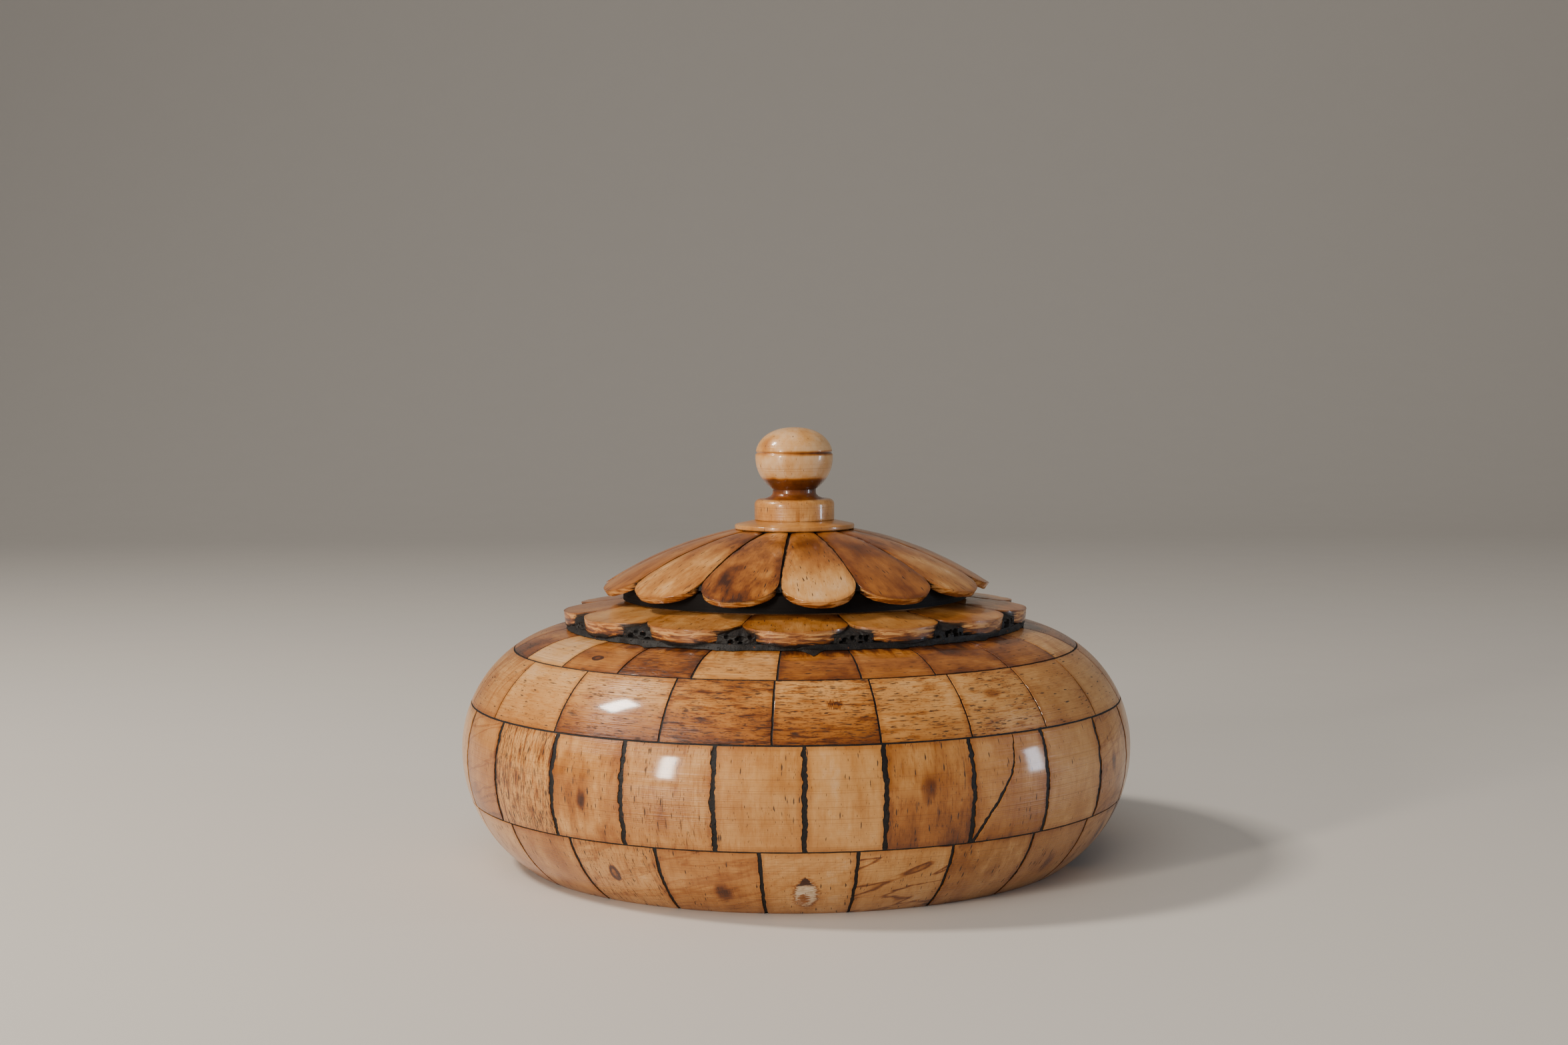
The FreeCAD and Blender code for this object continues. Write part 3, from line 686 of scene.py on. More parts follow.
def thicken(bm, skin, thickness):
    """Gives a patch its depth: a second face under the first one, and walls between them."""
    made = bmesh.ops.extrude_face_region(bm, geom=bm.faces[:], use_keep_orig=True)
    for vert in new_verts(made):
        turn, rise, depth = skin.place(vert.co)
        vert.co = skin.point(turn, rise, depth + thickness)
    bmesh.ops.recalc_face_normals(bm, faces=bm.faces[:])


def soften(bm, edges, offset, segments=2):
    """Rounds these edges."""
    bmesh.ops.bevel(bm, geom=edges, offset=offset, segments=segments, profile=0.5, affect="EDGES",
                    clamp_overlap=True, material=-1)


def corner_edges(bm, least):
    """Edges whose faces meet at more than an angle."""
    return [e for e in bm.edges if len(e.link_faces) == 2 and e.calc_face_angle() > least]


def add_piece(name, bm, finish, body, nodes, sharp=math.radians(40)):
    """Makes the mesh an object that stands for CAD nodes and rides on a body."""
    mesh = bpy.data.meshes.new(name)
    bm.to_mesh(mesh)
    bm.free()
    mesh.shade_smooth()
    mesh.set_sharp_from_angle(angle=sharp)
    mesh.materials.append(finishes()[finish])
    piece = bpy.data.objects.new(name, mesh)
    bpy.context.scene.collection.objects.link(piece)
    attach(piece, body)
    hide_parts(*nodes)
    return piece


class Paint:
    """Writes what the bone finish reads from a mesh: the grain's map, places and looks."""

    def __init__(self, bm):
        self.grain = bm.loops.layers.uv.new("grain")
        self.local = bm.verts.layers.float_vector.new("local")
        self.mood = bm.verts.layers.float_color.new("mood")
        self.spot = bm.verts.layers.float_color.new("spot")
        self.trait = bm.verts.layers.float_vector.new("trait")

    def dab(self, vert, look, across, along, edge, height, start=(0.0, 0.0)):
        """across, along and edge are in metres, height is from -1 to 1, start moves the grain's pattern."""
        vert[self.local] = (across / MM, along / MM, edge / MM)
        vert[self.mood] = (look.tone, look.streaks, look.mottle, look.fade)
        vert[self.spot] = look.spot
        vert[self.trait] = (look.vein, look.seep, height)
        for loop in vert.link_loops:
            loop[self.grain].uv = (across / MM + start[0], along / MM + start[1])


CRACKED_TILE = 6                                       # place in the belt, counted from 0
CRACK_TOP, CRACK_FOOT = (0.57, 0.41), (0.03, -0.35)    # share of the tile's width, and rise
CRACK_BOW = 0.033                                      # how far it bends aside, as a turn
CRACK_WIDTHS = (0.18 * MM, 0.75 * MM)                  # at its top and its foot
CRACK_FILLER_WIDTHS = (1.5 * MM, 1.9 * MM)             # of the strip of mastic behind it


def cracked_span(course):
    """Turns of the cracked tile's two sides."""
    return [math.radians(joint) for joint in course.joints()[CRACKED_TILE:CRACKED_TILE + 2]]


def crack_planes(course, skin, widths):
    """Planes along the two sides of the crack, from the tile's top to a lower corner."""
    left, right = cracked_span(course)
    top, foot = (skin.point(left + at * (right - left), rise) for at, rise in (CRACK_TOP, CRACK_FOOT))
    outward = skin.point((left + right) / 2, 0.0)
    outward.z = 0.0
    across = (foot - top).cross(outward).normalized()
    planes = []
    for side in (-0.5, 0.5):
        high, low = (end + across * side * width for end, width in zip((top, foot), widths))
        planes.append((low, (low - high).cross(outward).normalized()))
    return planes


def split_tile(bm, course, skin, widths, keep_strip):
    """Cuts the cracked tile, drops the strip in its crack or all but that strip, and bends the rest."""
    planes = crack_planes(course, skin, widths)
    left, right = cracked_span(course)

    def in_tile():
        return [f for f in bm.faces if left < skin.place(f.calc_center_median())[0] < right]

    def in_crack(face):
        (one, first), (other, second) = planes
        middle = face.calc_center_median()
        return (middle - one).dot(first) > 0 > (middle - other).dot(second)

    for point, normal in planes:
        faces = in_tile()
        parts = list({p for f in faces for p in [*f.verts, *f.edges]}) + faces
        bmesh.ops.bisect_plane(bm, geom=parts, plane_co=point, plane_no=normal)
    inside = {f for f in in_tile() if in_crack(f)}
    gone = [f for f in bm.faces if (f in inside) != keep_strip]
    bmesh.ops.delete(bm, geom=gone, context="FACES")
    for vert in bm.verts:
        turn, rise, depth = skin.place(vert.co)
        if left < turn < right:
            up = (rise - CRACK_FOOT[1]) / (CRACK_TOP[1] - CRACK_FOOT[1])
            bow = math.sin(math.pi * (turn - left) / (right - left)) ** 2 * math.sin(math.pi * up)
            vert.co = skin.point(turn + CRACK_BOW * bow, rise, depth)


TILE_STRAY = ((0.8, 0.8 * MM, 0), (0.9, 2.0 * MM, 3), (0.5, 6.0 * MM, 9))    # weight, wave and seed
SEAM_STRAY, SEAM_WAVE = 0.05 * MM, 2.0 * MM    # how far the tiles' upper and lower edges wander
RISE_SLACK = 1e-3                              # rises nearer than this count as one
FACE_DEPTH = 0.3 * MM                          # what lies deeper is a tile's side
TILE_SHARP = math.radians(18)                  # edges sharper than this aren't smoothed over


def roughen_edges(bm, skin, course, lowest):
    """Lets the tiles' cut edges wander, on the skin."""
    for vert in bm.verts:
        if vert.is_boundary:
            turn, rise, depth = skin.place(vert.co)
            stray = sum(weight * wobble(vert.co, wave, course.seed + seed)
                        for weight, wave, seed in TILE_STRAY)
            turn += course.ragged * stray / skin.radius
            if rise > lowest + RISE_SLACK:
                rise += SEAM_STRAY * wobble(vert.co, SEAM_WAVE, course.seed + 5) / skin.arc(rise)
            vert.co = skin.point(turn, rise, depth)


def paint_course(bm, skin, course, limits):
    """Gives each tile its place, grain and look."""
    joints, looks = course.joints(), course.looks()
    chance = random.Random(course.seed + 100)
    starts = [(chance.uniform(0, 500), chance.uniform(0, 500)) for _ in looks]
    low, high = (skin.climb(rise) for rise in limits)
    paint = Paint(bm)
    for vert in bm.verts:
        turn, rise, depth = skin.place(vert.co)
        degrees = math.degrees(turn)
        degrees += 360.0 if degrees < joints[0] else 0.0
        tile = min(bisect_right(joints, degrees), len(looks)) - 1
        half = math.radians(joints[tile + 1] - joints[tile]) / 2
        side = math.radians(degrees - joints[tile]) - half
        out = skin.out(rise)
        u, v = side * out, skin.climb(rise) - (low + high) / 2
        edge = min((half - abs(side)) * out - course.gap / 2, (high - low) / 2 - abs(v))
        across, along = (u, v) if course.upright else (v, u)
        paint.dab(vert, looks[tile], across, along, edge if depth < FACE_DEPTH else -depth,
                  2 * v / (high - low), starts[tile])


def build_course(course, body, skin):
    """A course of tiles: patches of the skin with ragged edges, given their depth and a worn rim."""
    limits = course_limits(body, skin)[course.name]
    joints = [math.radians(j) for j in course.joints()]
    gap = course.gap / skin.radius
    bm = bmesh.new()
    for left, right in zip(joints, joints[1:]):
        spin_patch(bm, skin, limits, course.rows, left + gap / 2, right - left - gap, course.columns)
    if course.name == "belt":
        split_tile(bm, course, skin, CRACK_WIDTHS, keep_strip=False)
    roughen_edges(bm, skin, course, limits[0] if course.name == "foot" else -FULL_TURN)
    thicken(bm, skin, body.tile_thickness)
    deep = {v for v in bm.verts if skin.place(v.co)[2] > body.tile_thickness / 2}
    rims = [e for e in bm.edges if not deep.intersection(e.verts)
            and any(deep.intersection(f.verts) for f in e.link_faces)]
    if course.name == "foot":
        inner = body.belt_radius - body.base_inset - body.foot_inset
        for vert in deep:
            turn, rise, depth = skin.place(vert.co)
            if abs(rise - limits[0]) < RISE_SLACK:
                vert.co = (inner * math.sin(turn), -inner * math.cos(turn), 0.0)
    soften(bm, rims, body.edge_round)
    paint_course(bm, skin, course, limits)
    add_piece(f"bone_{course.name}_course", bm, "tile_bone_finish", "box",
              [f"{course.name}_course_tiles"], sharp=TILE_SHARP)


FILLER_COLUMNS = 5
RING_STEPS = 480                        # faces round a ring of mastic
FOOT_FILLER_LIFT = 0.004                # rise that keeps the foot's mastic off the floor
LEAST_FILLER_DEPTH = 0.02 * MM          # lumps stay this far under the tiles' faces
FILLER_FACE = 0.05 * MM                 # what lies no deeper under the filler's depth is its face
JOINT_LUMPS = (0.09 * MM, 0.8 * MM)     # height and size
SEAM_LUMPS = (0.07 * MM, 1.2 * MM)


def lumpy(bm, skin, depth, amount, size):
    """Makes the face of a mastic strip uneven."""
    for vert in bm.verts:
        turn, rise, at = skin.place(vert.co)
        if at < depth + FILLER_FACE:
            deep = max(at + amount * wobble(vert.co, size, 3.0), LEAST_FILLER_DEPTH)
            vert.co = skin.point(turn, rise, deep)


def build_filler(course, body, skin):
    """Strips of mastic in a course's joints, running a little under the tiles' ragged edges."""
    low, high = course_limits(body, skin)[course.name]
    limits = (low + (FOOT_FILLER_LIFT if course.name == "foot" else 0.0), high)
    width = (course.gap + 2 * body.filler_lap) / skin.radius
    bm = bmesh.new()
    if course.name == "belt":
        left, right = cracked_span(course)
        spin_patch(bm, skin, limits, course.rows, left, right - left, course.columns, body.filler_depth)
        split_tile(bm, course, skin, CRACK_FILLER_WIDTHS, keep_strip=True)
    for joint in course.joints()[:-1]:
        spin_patch(bm, skin, limits, course.rows, math.radians(joint) - width / 2, width, FILLER_COLUMNS,
                   body.filler_depth)
    thicken(bm, skin, body.tile_thickness - 2 * body.filler_depth)
    lumpy(bm, skin, body.filler_depth, *JOINT_LUMPS)
    add_piece(f"mastic_{course.name}_joints", bm, "mastic_finish", "box",
              [f"{course.name}_course_filler"])


def build_seams(body, skin):
    """Rings of mastic in the three seams between courses."""
    bm = bmesh.new()
    for rise in (-body.foot_seam, body.upper_seam, body.shoulder_seam):
        half = (body.seam_gap / 2 + body.filler_lap / 2) / skin.arc(rise)
        spin_patch(bm, skin, (rise - half, rise + half), 3, 0.0, FULL_TURN, RING_STEPS, body.filler_depth)
    thicken(bm, skin, body.tile_thickness - 2 * body.filler_depth)
    lumpy(bm, skin, body.filler_depth, *SEAM_LUMPS)
    add_piece("mastic_seams", bm, "mastic_finish", "box", ["seam_filler_rings"])


def turned_about(turn, out, side, height):
    """A point given along and across a line that leaves the axis at a turn."""
    sine, cosine = math.sin(turn), math.cos(turn)
    return Vector((out * sine + side * cosine, side * sine - out * cosine, height))


class PetalTop:
    """Upper face of a ring of petals, and the rounded outline of their tips."""

    round_power = 2.0

    def __init__(self, props):
        self.props = props

    def tip(self, half):
        """Middle and half sizes of a petal's rounded end."""
        centre = self.props.tip_radius - self.props.tip_depth
        return centre, self.props.tip_depth, centre * math.tan(half) - self.props.gap / 2

    def notch(self, out, half):
        """Distance from the line between two petals to the side of one of them."""
        centre, long, wide = self.tip(half)
        past = min(1.0, max(0.0, out - centre) / long)
        side = wide * (1 - past ** self.round_power) ** (1 / self.round_power)
        return max(self.props.gap / 2, out * math.tan(half) - side)


class CollarTop(PetalTop):
    """Upper face of the collar's petals: flat and sloping."""

    def height(self, out, side):
        return self.props.tip_top + (self.props.tip_radius - out) * math.tan(self.props.slope)

    def normal(self, out, side):
        return Vector((math.sin(self.props.slope), 0.0, math.cos(self.props.slope)))


class LidTop(PetalTop):
    """Upper face of the lid's petals: an arc turned about the axis."""

    round_power = 2.1

    def __init__(self, lid):
        super().__init__(lid)
        crown, tip = Vector((lid.crown_radius, lid.crown_top)), Vector((lid.tip_radius, lid.tip_top))
        chord = tip - crown
        self.radius = (chord.length_squared / 4 + lid.bulge ** 2) / (2 * lid.bulge)
        normal = Vector((-chord.y, chord.x)).normalized()
        self.centre = (crown + tip) / 2 - normal * (self.radius - lid.bulge)

    def height(self, out, side):
        away = math.hypot(out, side) - self.centre.x
        return self.centre.y + math.sqrt(self.radius ** 2 - away ** 2)

    def normal(self, out, side):
        away = math.hypot(out, side)
        lean = (away - self.centre.x) / self.radius
        return Vector((lean * out / away, lean * side / away, math.sqrt(1 - lean ** 2)))


def rounded(value, power):
    """A sine or cosine, bent so that its circle becomes squarer with the power; 2 keeps it."""
    return math.copysign(abs(value) ** (2 / power), value)


def petal_outline(top, half, across, along):
    """Plan of a petal from a square grid: its inner end at along 0, its rounded tip at along 1."""
    centre, long, wide = top.tip(half)
    bow = across * (math.pi / 2 + half)
    tip = Vector((centre + long * rounded(math.cos(bow), top.round_power),
                  wide * rounded(math.sin(bow), top.round_power)))
    inner = top.props.inner_radius
    turn = math.sin(across * math.pi / 2) * (half - top.props.gap / 2 / inner)
    start = Vector((inner * math.cos(turn), inner * math.sin(turn)))
    return start.lerp(tip, along)


PETAL_GRID = (30, 26)                   # faces across and along
PETAL_TILT = 0.12 * MM                  # most that a petal leans to a side
PETAL_CROWN = 0.22 * MM                 # the middle stands this far over the sides
PETAL_SINK = 0.12 * MM                  # and the sides lie this far under the ring's face
PETAL_WAVE = (0.07 * MM, 5.0 * MM)      # height and size of waves in the face
PETAL_SIDE = 0.16 * MM                  # what lies deeper is a petal's side
RIM_FLAT = 4.0                          # how much flatter than wide the sides' layers are
RIM_WAVE = (0.10 * MM, 2.2 * MM)        # height and size of waves in the sides
RIM_CHIP = (0.35 * MM, 3.4 * MM)        # depth and size of chips in the sides
CHIP_START = 0.15                       # noise over this is a chip


def build_petal(name, node, body, top, span, look, seed):
    """One petal: a grid bent to its outline, given a thickness, a rounded rim and ragged sides."""
    turn, half = span
    props = top.props
    chance = random.Random(seed)
    start = (chance.uniform(0, 500), chance.uniform(0, 500))
    tilt = chance.uniform(-PETAL_TILT, PETAL_TILT)
    bm = bmesh.new()
    bmesh.ops.create_grid(bm, x_segments=PETAL_GRID[0], y_segments=PETAL_GRID[1], size=1.0)
    paint = Paint(bm)
    wave, wave_size = PETAL_WAVE
    reach = props.tip_radius - props.inner_radius
    rim = [e for e in bm.edges if e.is_boundary]
    for vert in bm.verts:
        across, along = vert.co.x, (vert.co.y + 1) / 2
        out, side = petal_outline(top, half, across, along)
        tip = petal_outline(top, half, across, 1.0)
        flank = petal_outline(top, half, math.copysign(1.0, across), along)
        edge = min((tip - Vector((out, side))).length, abs(flank.y - side))
        paint.dab(vert, look, side, out - props.inner_radius - reach / 2, edge,
                  2 * (out - props.inner_radius) / reach - 1, start)
        crown = PETAL_CROWN * (1 - across ** 2) - PETAL_SINK + tilt * across
        crown += wave * wobble(Vector((out, side, seed * MM)), wave_size)
        vert.co = Vector((out, side, top.height(out, side) + crown))
    made = bmesh.ops.extrude_face_region(bm, geom=bm.faces[:], use_keep_orig=True)
    low = set(new_verts(made))
    for vert in low:
        tip = max(0.0, vert[paint.trait].z)
        corner = (abs(vert.co.y) / (vert.co.x * math.tan(half))) ** 2 * tip
        deep = props.thickness * (1 - props.taper * corner + props.swell * tip ** 2)
        vert.co -= top.normal(vert.co.x, vert.co.y) * deep
        vert[paint.local].z = -props.thickness / MM
    low_rim = [e for e in bm.edges if low.issuperset(e.verts)
               and any(not low.issuperset(f.verts) for f in e.link_faces)]
    bmesh.ops.recalc_face_normals(bm, faces=bm.faces[:])
    soften(bm, rim, props.rim_round, 3)
    soften(bm, low_rim, props.rim_round / 2, 2)
    walls = [e for e in bm.edges if abs((e.verts[0].co - e.verts[1].co).normalized().dot(
        top.normal(*e.verts[0].co.xy))) > 0.9 and e.calc_length() > props.thickness / 4]
    bmesh.ops.subdivide_edges(bm, edges=walls, cuts=2, use_grid_fill=True)
    wear_sides(bm, paint, top, seed)
    for vert in bm.verts:
        vert.co = turned_about(turn, *vert.co)
    add_piece(name, bm, "petal_bone_finish", body, [node])


def wear_sides(bm, paint, top, seed):
    """Makes a petal's sides wavy and chipped, in flat layers."""
    bm.normal_update()
    for vert in bm.verts:
        depth = top.height(vert.co.x, vert.co.y) - vert.co.z
        if depth > PETAL_SIDE:
            vert[paint.local].z = -depth / MM
        if vert[paint.local].z < 0.05:
            at = Vector((vert.co.x, vert.co.y, vert.co.z * RIM_FLAT))
            chip = max(0.0, noise.noise(at / RIM_CHIP[1] + Vector((seed, 0, 0))) - CHIP_START)
            vert.co += vert.normal * (RIM_WAVE[0] * wobble(at, RIM_WAVE[1], seed) - RIM_CHIP[0] * chip)


def build_petals(kind, body, top, joints, front_looks, kinds, seed):
    """A ring of petals: the front ones with looks of their own, the rest with looks by chance."""
    chance = random.Random(seed)
    for k, span in enumerate(petal_spans(joints)):
        look = front_looks[k] if k < len(front_looks) else chance.choice(kinds)
        node = f"{kind}_petal_{k + 1:02d}"
        build_petal(f"bone_{node}", node, body, top, span, look, seed + k)


def notches(joints):
    """Each line between two petals: its turn, and half the width of the petals before and after it."""
    spans = petal_spans(joints)
    return [(middle - half, before[1], half) for before, (middle, half) in zip(spans[-1:] + spans, spans)]


BED_DEPTH = 0.9 * MM                    # of mastic under the collar's petals
BED_STEPS = 12
FACE_INSET = 1.0 * MM                   # the mastic's face lies this far inside the petals' tips
LIP_TOP = ((0.1 * MM, -0.25 * MM), (0.25 * MM, -0.55 * MM))    # out from the face, up from the petals
LIP_TOE = ((0.45 * MM, 0.12 * MM), (0.35 * MM, 0.02 * MM))     # out from the face, up from the tiles
TOE_START = 0.3 * MM
FACE_DRIP = 0.4                         # most that the face bulges, in mm
PLUG_SEED = 31
PLUG_HOLES = 7
PLUG_START = 5.0 * MM                   # a plug starts this far outside the petals' inner ends
PLUG_BULGE = 0.9 * MM                   # the middle of its face stands this far over the sides
PLUG_OVERLAP, PLUG_HALF_WIDTH = 0.4 * MM, 3.9 * MM    # into the petals, and at most
PLUG_DEPTH = 0.5 * MM                   # into the bed
PLUG_DROP = (0.35 * MM, 0.5 * MM)       # under the petals' faces, and more towards its own face
PLUG_ROUGH = 0.25 * MM
PLUG_PIT = 0.9 * MM


def build_collar_mastic(body, collar, skin):
    """The bed under the collar, its lip on the shoulder tiles, and plugs with holes in the notches."""
    top = CollarTop(collar)
    slope = math.tan(collar.slope)
    low = collar.tip_top - collar.thickness

    def bottom(out):
        return low + (collar.tip_radius - out) * slope

    def shoulder(out):
        return skin.height + math.sqrt(skin.upper ** 2 - (out - skin.radius + skin.upper) ** 2)

    inner, heel = collar.inner_radius, body.shoulder_edge
    edge = collar.tip_radius - FACE_INSET
    section = [(inner, bottom(inner) - BED_DEPTH), (inner, bottom(inner))]
    outs = [inner + (edge - inner) * k / BED_STEPS for k in range(1, BED_STEPS + 1)]
    section += [(out, bottom(out) + 0.02 * MM) for out in outs]
    section += [(edge + out, bottom(edge) + up) for out, up in LIP_TOP]
    section += [(edge + out, shoulder(edge + out) + up) for out, up in LIP_TOE]
    section += [(heel, shoulder(heel) + 0.05 * MM), (heel - 0.2 * MM, bottom(heel) - BED_DEPTH)]
    bm = turn_section(section, closed=True, steps=RING_STEPS)
    for vert in bm.verts:
        out = math.hypot(vert.co.x, vert.co.y)
        if out > heel + TOE_START:
            turn = math.degrees(math.atan2(vert.co.x, -vert.co.y))
            drip = 2.4 * max(0.0, wobble(vert.co, 5.0 * MM, 4.0) - 0.3)
            drip += 0.3 * wobble(vert.co, 1.1 * MM, 8.0)
            drip += sum(reach * near(turn, at, wide) ** 1.4 for at, reach, wide in COLLAR_DRIPS)
            toe = out > edge + TOE_START
            lip = out + MM * (drip if toe else min(drip, FACE_DRIP))
            fall = shoulder(lip) - shoulder(out) if toe else 0.0
            vert.co = Vector((vert.co.x * lip / out, vert.co.y * lip / out, vert.co.z + fall))

    chance = random.Random(PLUG_SEED)
    for notch in notches(COLLAR_JOINTS):
        build_plug(bm, top, notch, bottom, chance)
    bmesh.ops.recalc_face_normals(bm, faces=bm.faces[:])
    add_piece("mastic_collar", bm, "mastic_finish", "box", ["collar_mastic"])


def build_plug(bm, top, notch, bottom, chance):
    """A lump of mastic in the notch between two petals' tips, with a few holes in its face."""
    turn, half_before, half_after = notch
    aside = Vector((10.0, 0.0, 0.0))
    made = bmesh.ops.create_grid(bm, x_segments=48, y_segments=24, size=1.0,
                                 matrix=Matrix.Translation(aside))
    faces = list({f for v in made["verts"] for f in v.link_faces})
    back = bmesh.ops.extrude_face_region(bm, geom=faces, use_keep_orig=True)
    bmesh.ops.translate(bm, verts=new_verts(back), vec=(0.0, 0.0, -1.0))
    plug_edges = [e for e in bm.edges if e.verts[0].co.x > aside.x / 2]
    long_edges = [e for e in plug_edges if abs(e.verts[0].co.z - e.verts[1].co.z) > 0.5]
    bmesh.ops.subdivide_edges(bm, edges=long_edges, cuts=10, use_grid_fill=True)
    holes = [(chance.uniform(-2.6, 2.6), chance.uniform(-0.6, 0.9), chance.uniform(0.3, 0.6))
             for _ in range(PLUG_HOLES)]
    inner, face = top.props.inner_radius + PLUG_START, top.props.tip_radius - FACE_INSET
    for vert in [v for v in bm.verts if v.co.x > aside.x / 2]:
        across, ahead, up = vert.co.x - aside.x, vert.co.z + 1, vert.co.y
        out = inner + (face - PLUG_BULGE * across ** 2 - inner) * ahead
        gap = top.notch(out, half_after if across > 0 else half_before)
        wide = min(gap + PLUG_OVERLAP, PLUG_HALF_WIDTH)
        low = bottom(out) - PLUG_DEPTH
        high = top.height(out, 0.0) - PLUG_DROP[0] - PLUG_DROP[1] * ahead ** 4
        height = low + (high - low) * (up + 1) / 2
        pit = 0.0
        for hole_side, hole_up, size in holes:
            away = math.hypot(across * wide / MM - hole_side, (up - hole_up) * (high - low) / 2 / MM) / size
            pit = max(pit, 1 - away ** 2)
        rough = Vector((out, across * wide, height + turn))
        out += (PLUG_ROUGH * wobble(rough, 0.9 * MM) - PLUG_PIT * pit) * ahead ** 4
        vert.co = turned_about(turn, out, across * wide, height + 0.12 * MM * wobble(rough, 0.8 * MM, 5.0))


LID_FILLER_ENDS = (0.2 * MM, 0.1 * MM)     # clear of the petals' inner ends and of the wooden rim
LID_FILLER_LAP = 0.3 * MM                  # under the petals' sides
LID_FILLER_DEPTH = 0.45 * MM               # under their faces
LID_FILLER_LUMPS = (0.12 * MM, 1.2 * MM)   # height and size
LID_FILLER_THINNER = 0.55 * MM             # than a petal


def build_lid_filler(lid):
    """Mastic between the lid's petals, widening into the notches between their tips."""
    top = LidTop(lid)
    bm = bmesh.new()
    inner, outer = lid.inner_radius + LID_FILLER_ENDS[0], lid.wood_radius - LID_FILLER_ENDS[1]
    lump, lump_size = LID_FILLER_LUMPS
    for joint, half_before, half_after in notches(LID_JOINTS):
        made = bmesh.ops.create_grid(bm, x_segments=8, y_segments=60, size=1.0)
        for vert in made["verts"]:
            across, out = vert.co.x, inner + (outer - inner) * (vert.co.y + 1) / 2
            side = across * (top.notch(out, half_after if across > 0 else half_before) + LID_FILLER_LAP)
            depth = LID_FILLER_DEPTH + lump * wobble(Vector((out, side, joint * 0.02)), lump_size)
            vert.co = turned_about(joint, out, side, top.height(out, side) - depth)
        faces = list({f for v in made["verts"] for f in v.link_faces})
        under = bmesh.ops.extrude_face_region(bm, geom=faces, use_keep_orig=True)
        for vert in new_verts(under):
            vert.co.z -= lid.thickness - LID_FILLER_THINNER
    bmesh.ops.recalc_face_normals(bm, faces=bm.faces[:])
    add_piece("mastic_lid_joints", bm, "mastic_finish", "lid", ["lid_petal_filler"])


TURNED_STEPS = 128                      # faces round a turned piece
WELD = 1e-6                             # points nearer than this become one
BALL_STEPS = 30                         # in the section, under the turned line and over it
BALL_POWER = 2.2                        # over 2 the top is flatter than a ball's
NECK_COVE = ((0.45, 0.45), (0.08, 0.85), (0.0, 1.15))    # mm out from the waist and up from the drum


def arc_points(centre, start, end, steps):
    """Points of an arc in a section, round a centre, between two points."""
    first, last = start - centre, end - centre
    sweep = math.atan2(first.x * last.y - first.y * last.x, first.dot(last))
    return [centre + Matrix.Rotation(sweep * k / steps, 2) @ first for k in range(steps + 1)]


def turn_section(points, closed, steps=TURNED_STEPS):
    """A section of (radius, height) points turned once about the axis."""
    bm = bmesh.new()
    verts = [bm.verts.new((0.0, -out, height)) for out, height in points]
    edges = [bm.edges.new(pair) for pair in zip(verts, verts[1:] + (verts[:1] if closed else []))]
    bmesh.ops.spin(bm, geom=verts + edges, cent=(0, 0, 0), axis=AXIS, angle=FULL_TURN, steps=steps,
                   use_merge=True)
    bmesh.ops.remove_doubles(bm, verts=bm.verts[:], dist=WELD)
    bmesh.ops.recalc_face_normals(bm, faces=bm.faces[:])
    return bm


def paint_turned(bm, look, tone_at):
    """Looks of a turned piece, with its tone given by a function of a point."""
    paint = Paint(bm)
    for vert in bm.verts:
        paint.dab(vert, replace(look, tone=tone_at(vert.co)), 0.0, 0.0, 2.0 * MM, 0.0)


def build_disc(finial):
    """The disc over the inner ends of the lid's petals."""
    p = finial
    section = [(p.hole_radius, p.disc_bottom), (p.disc_radius, p.disc_bottom),
               (p.disc_radius, p.disc_bottom + p.disc_edge), (p.base_radius, p.disc_top),
               (p.hole_radius, p.disc_top)]
    bm = turn_section(section, closed=True)
    soften(bm, corner_edges(bm, 0.5), 0.22 * MM, 3)
    paint_turned(bm, replace(TAN, streaks=0.2), lambda at: 0.30)
    add_piece("bone_finial_disc", bm, "finial_bone_finish", "lid", ["finial_disc"])


def build_drum(finial):
    """The short drum under the ball, with a rounded upper edge."""
    p = finial
    flat, shelf = p.base_radius - p.base_round, p.base_top - p.base_round
    rounding = arc_points(Vector((flat, shelf)), Vector((p.base_radius, shelf)),
                          Vector((flat, p.base_top)), 8)
    section = [(p.hole_radius, p.disc_top), (p.base_radius, p.disc_top)]
    section += [(p.base_radius, p.disc_top + (shelf - p.disc_top) * k / 6) for k in range(1, 6)]
    section += [tuple(point) for point in rounding] + [(p.hole_radius, p.base_top)]
    bm = turn_section(section, closed=True)
    soften(bm, corner_edges(bm, 0.9), 0.2 * MM, 2)

    def tone(at):
        by_neck = near(math.hypot(at.x, at.y), 5.2 * MM, 1.4 * MM) * (at.z > p.base_top - 0.4 * MM)
        streak = near(at.x, 0.6 * MM, 0.5 * MM) * near(at.z, p.disc_top, 2.4 * MM)
        return 0.24 + 0.4 * by_neck + 0.5 * streak * (at.y < 0)

    paint_turned(bm, replace(CREAM, mottle=0.35), tone)
    add_piece("bone_finial_drum", bm, "finial_bone_finish", "lid", ["finial_base"])


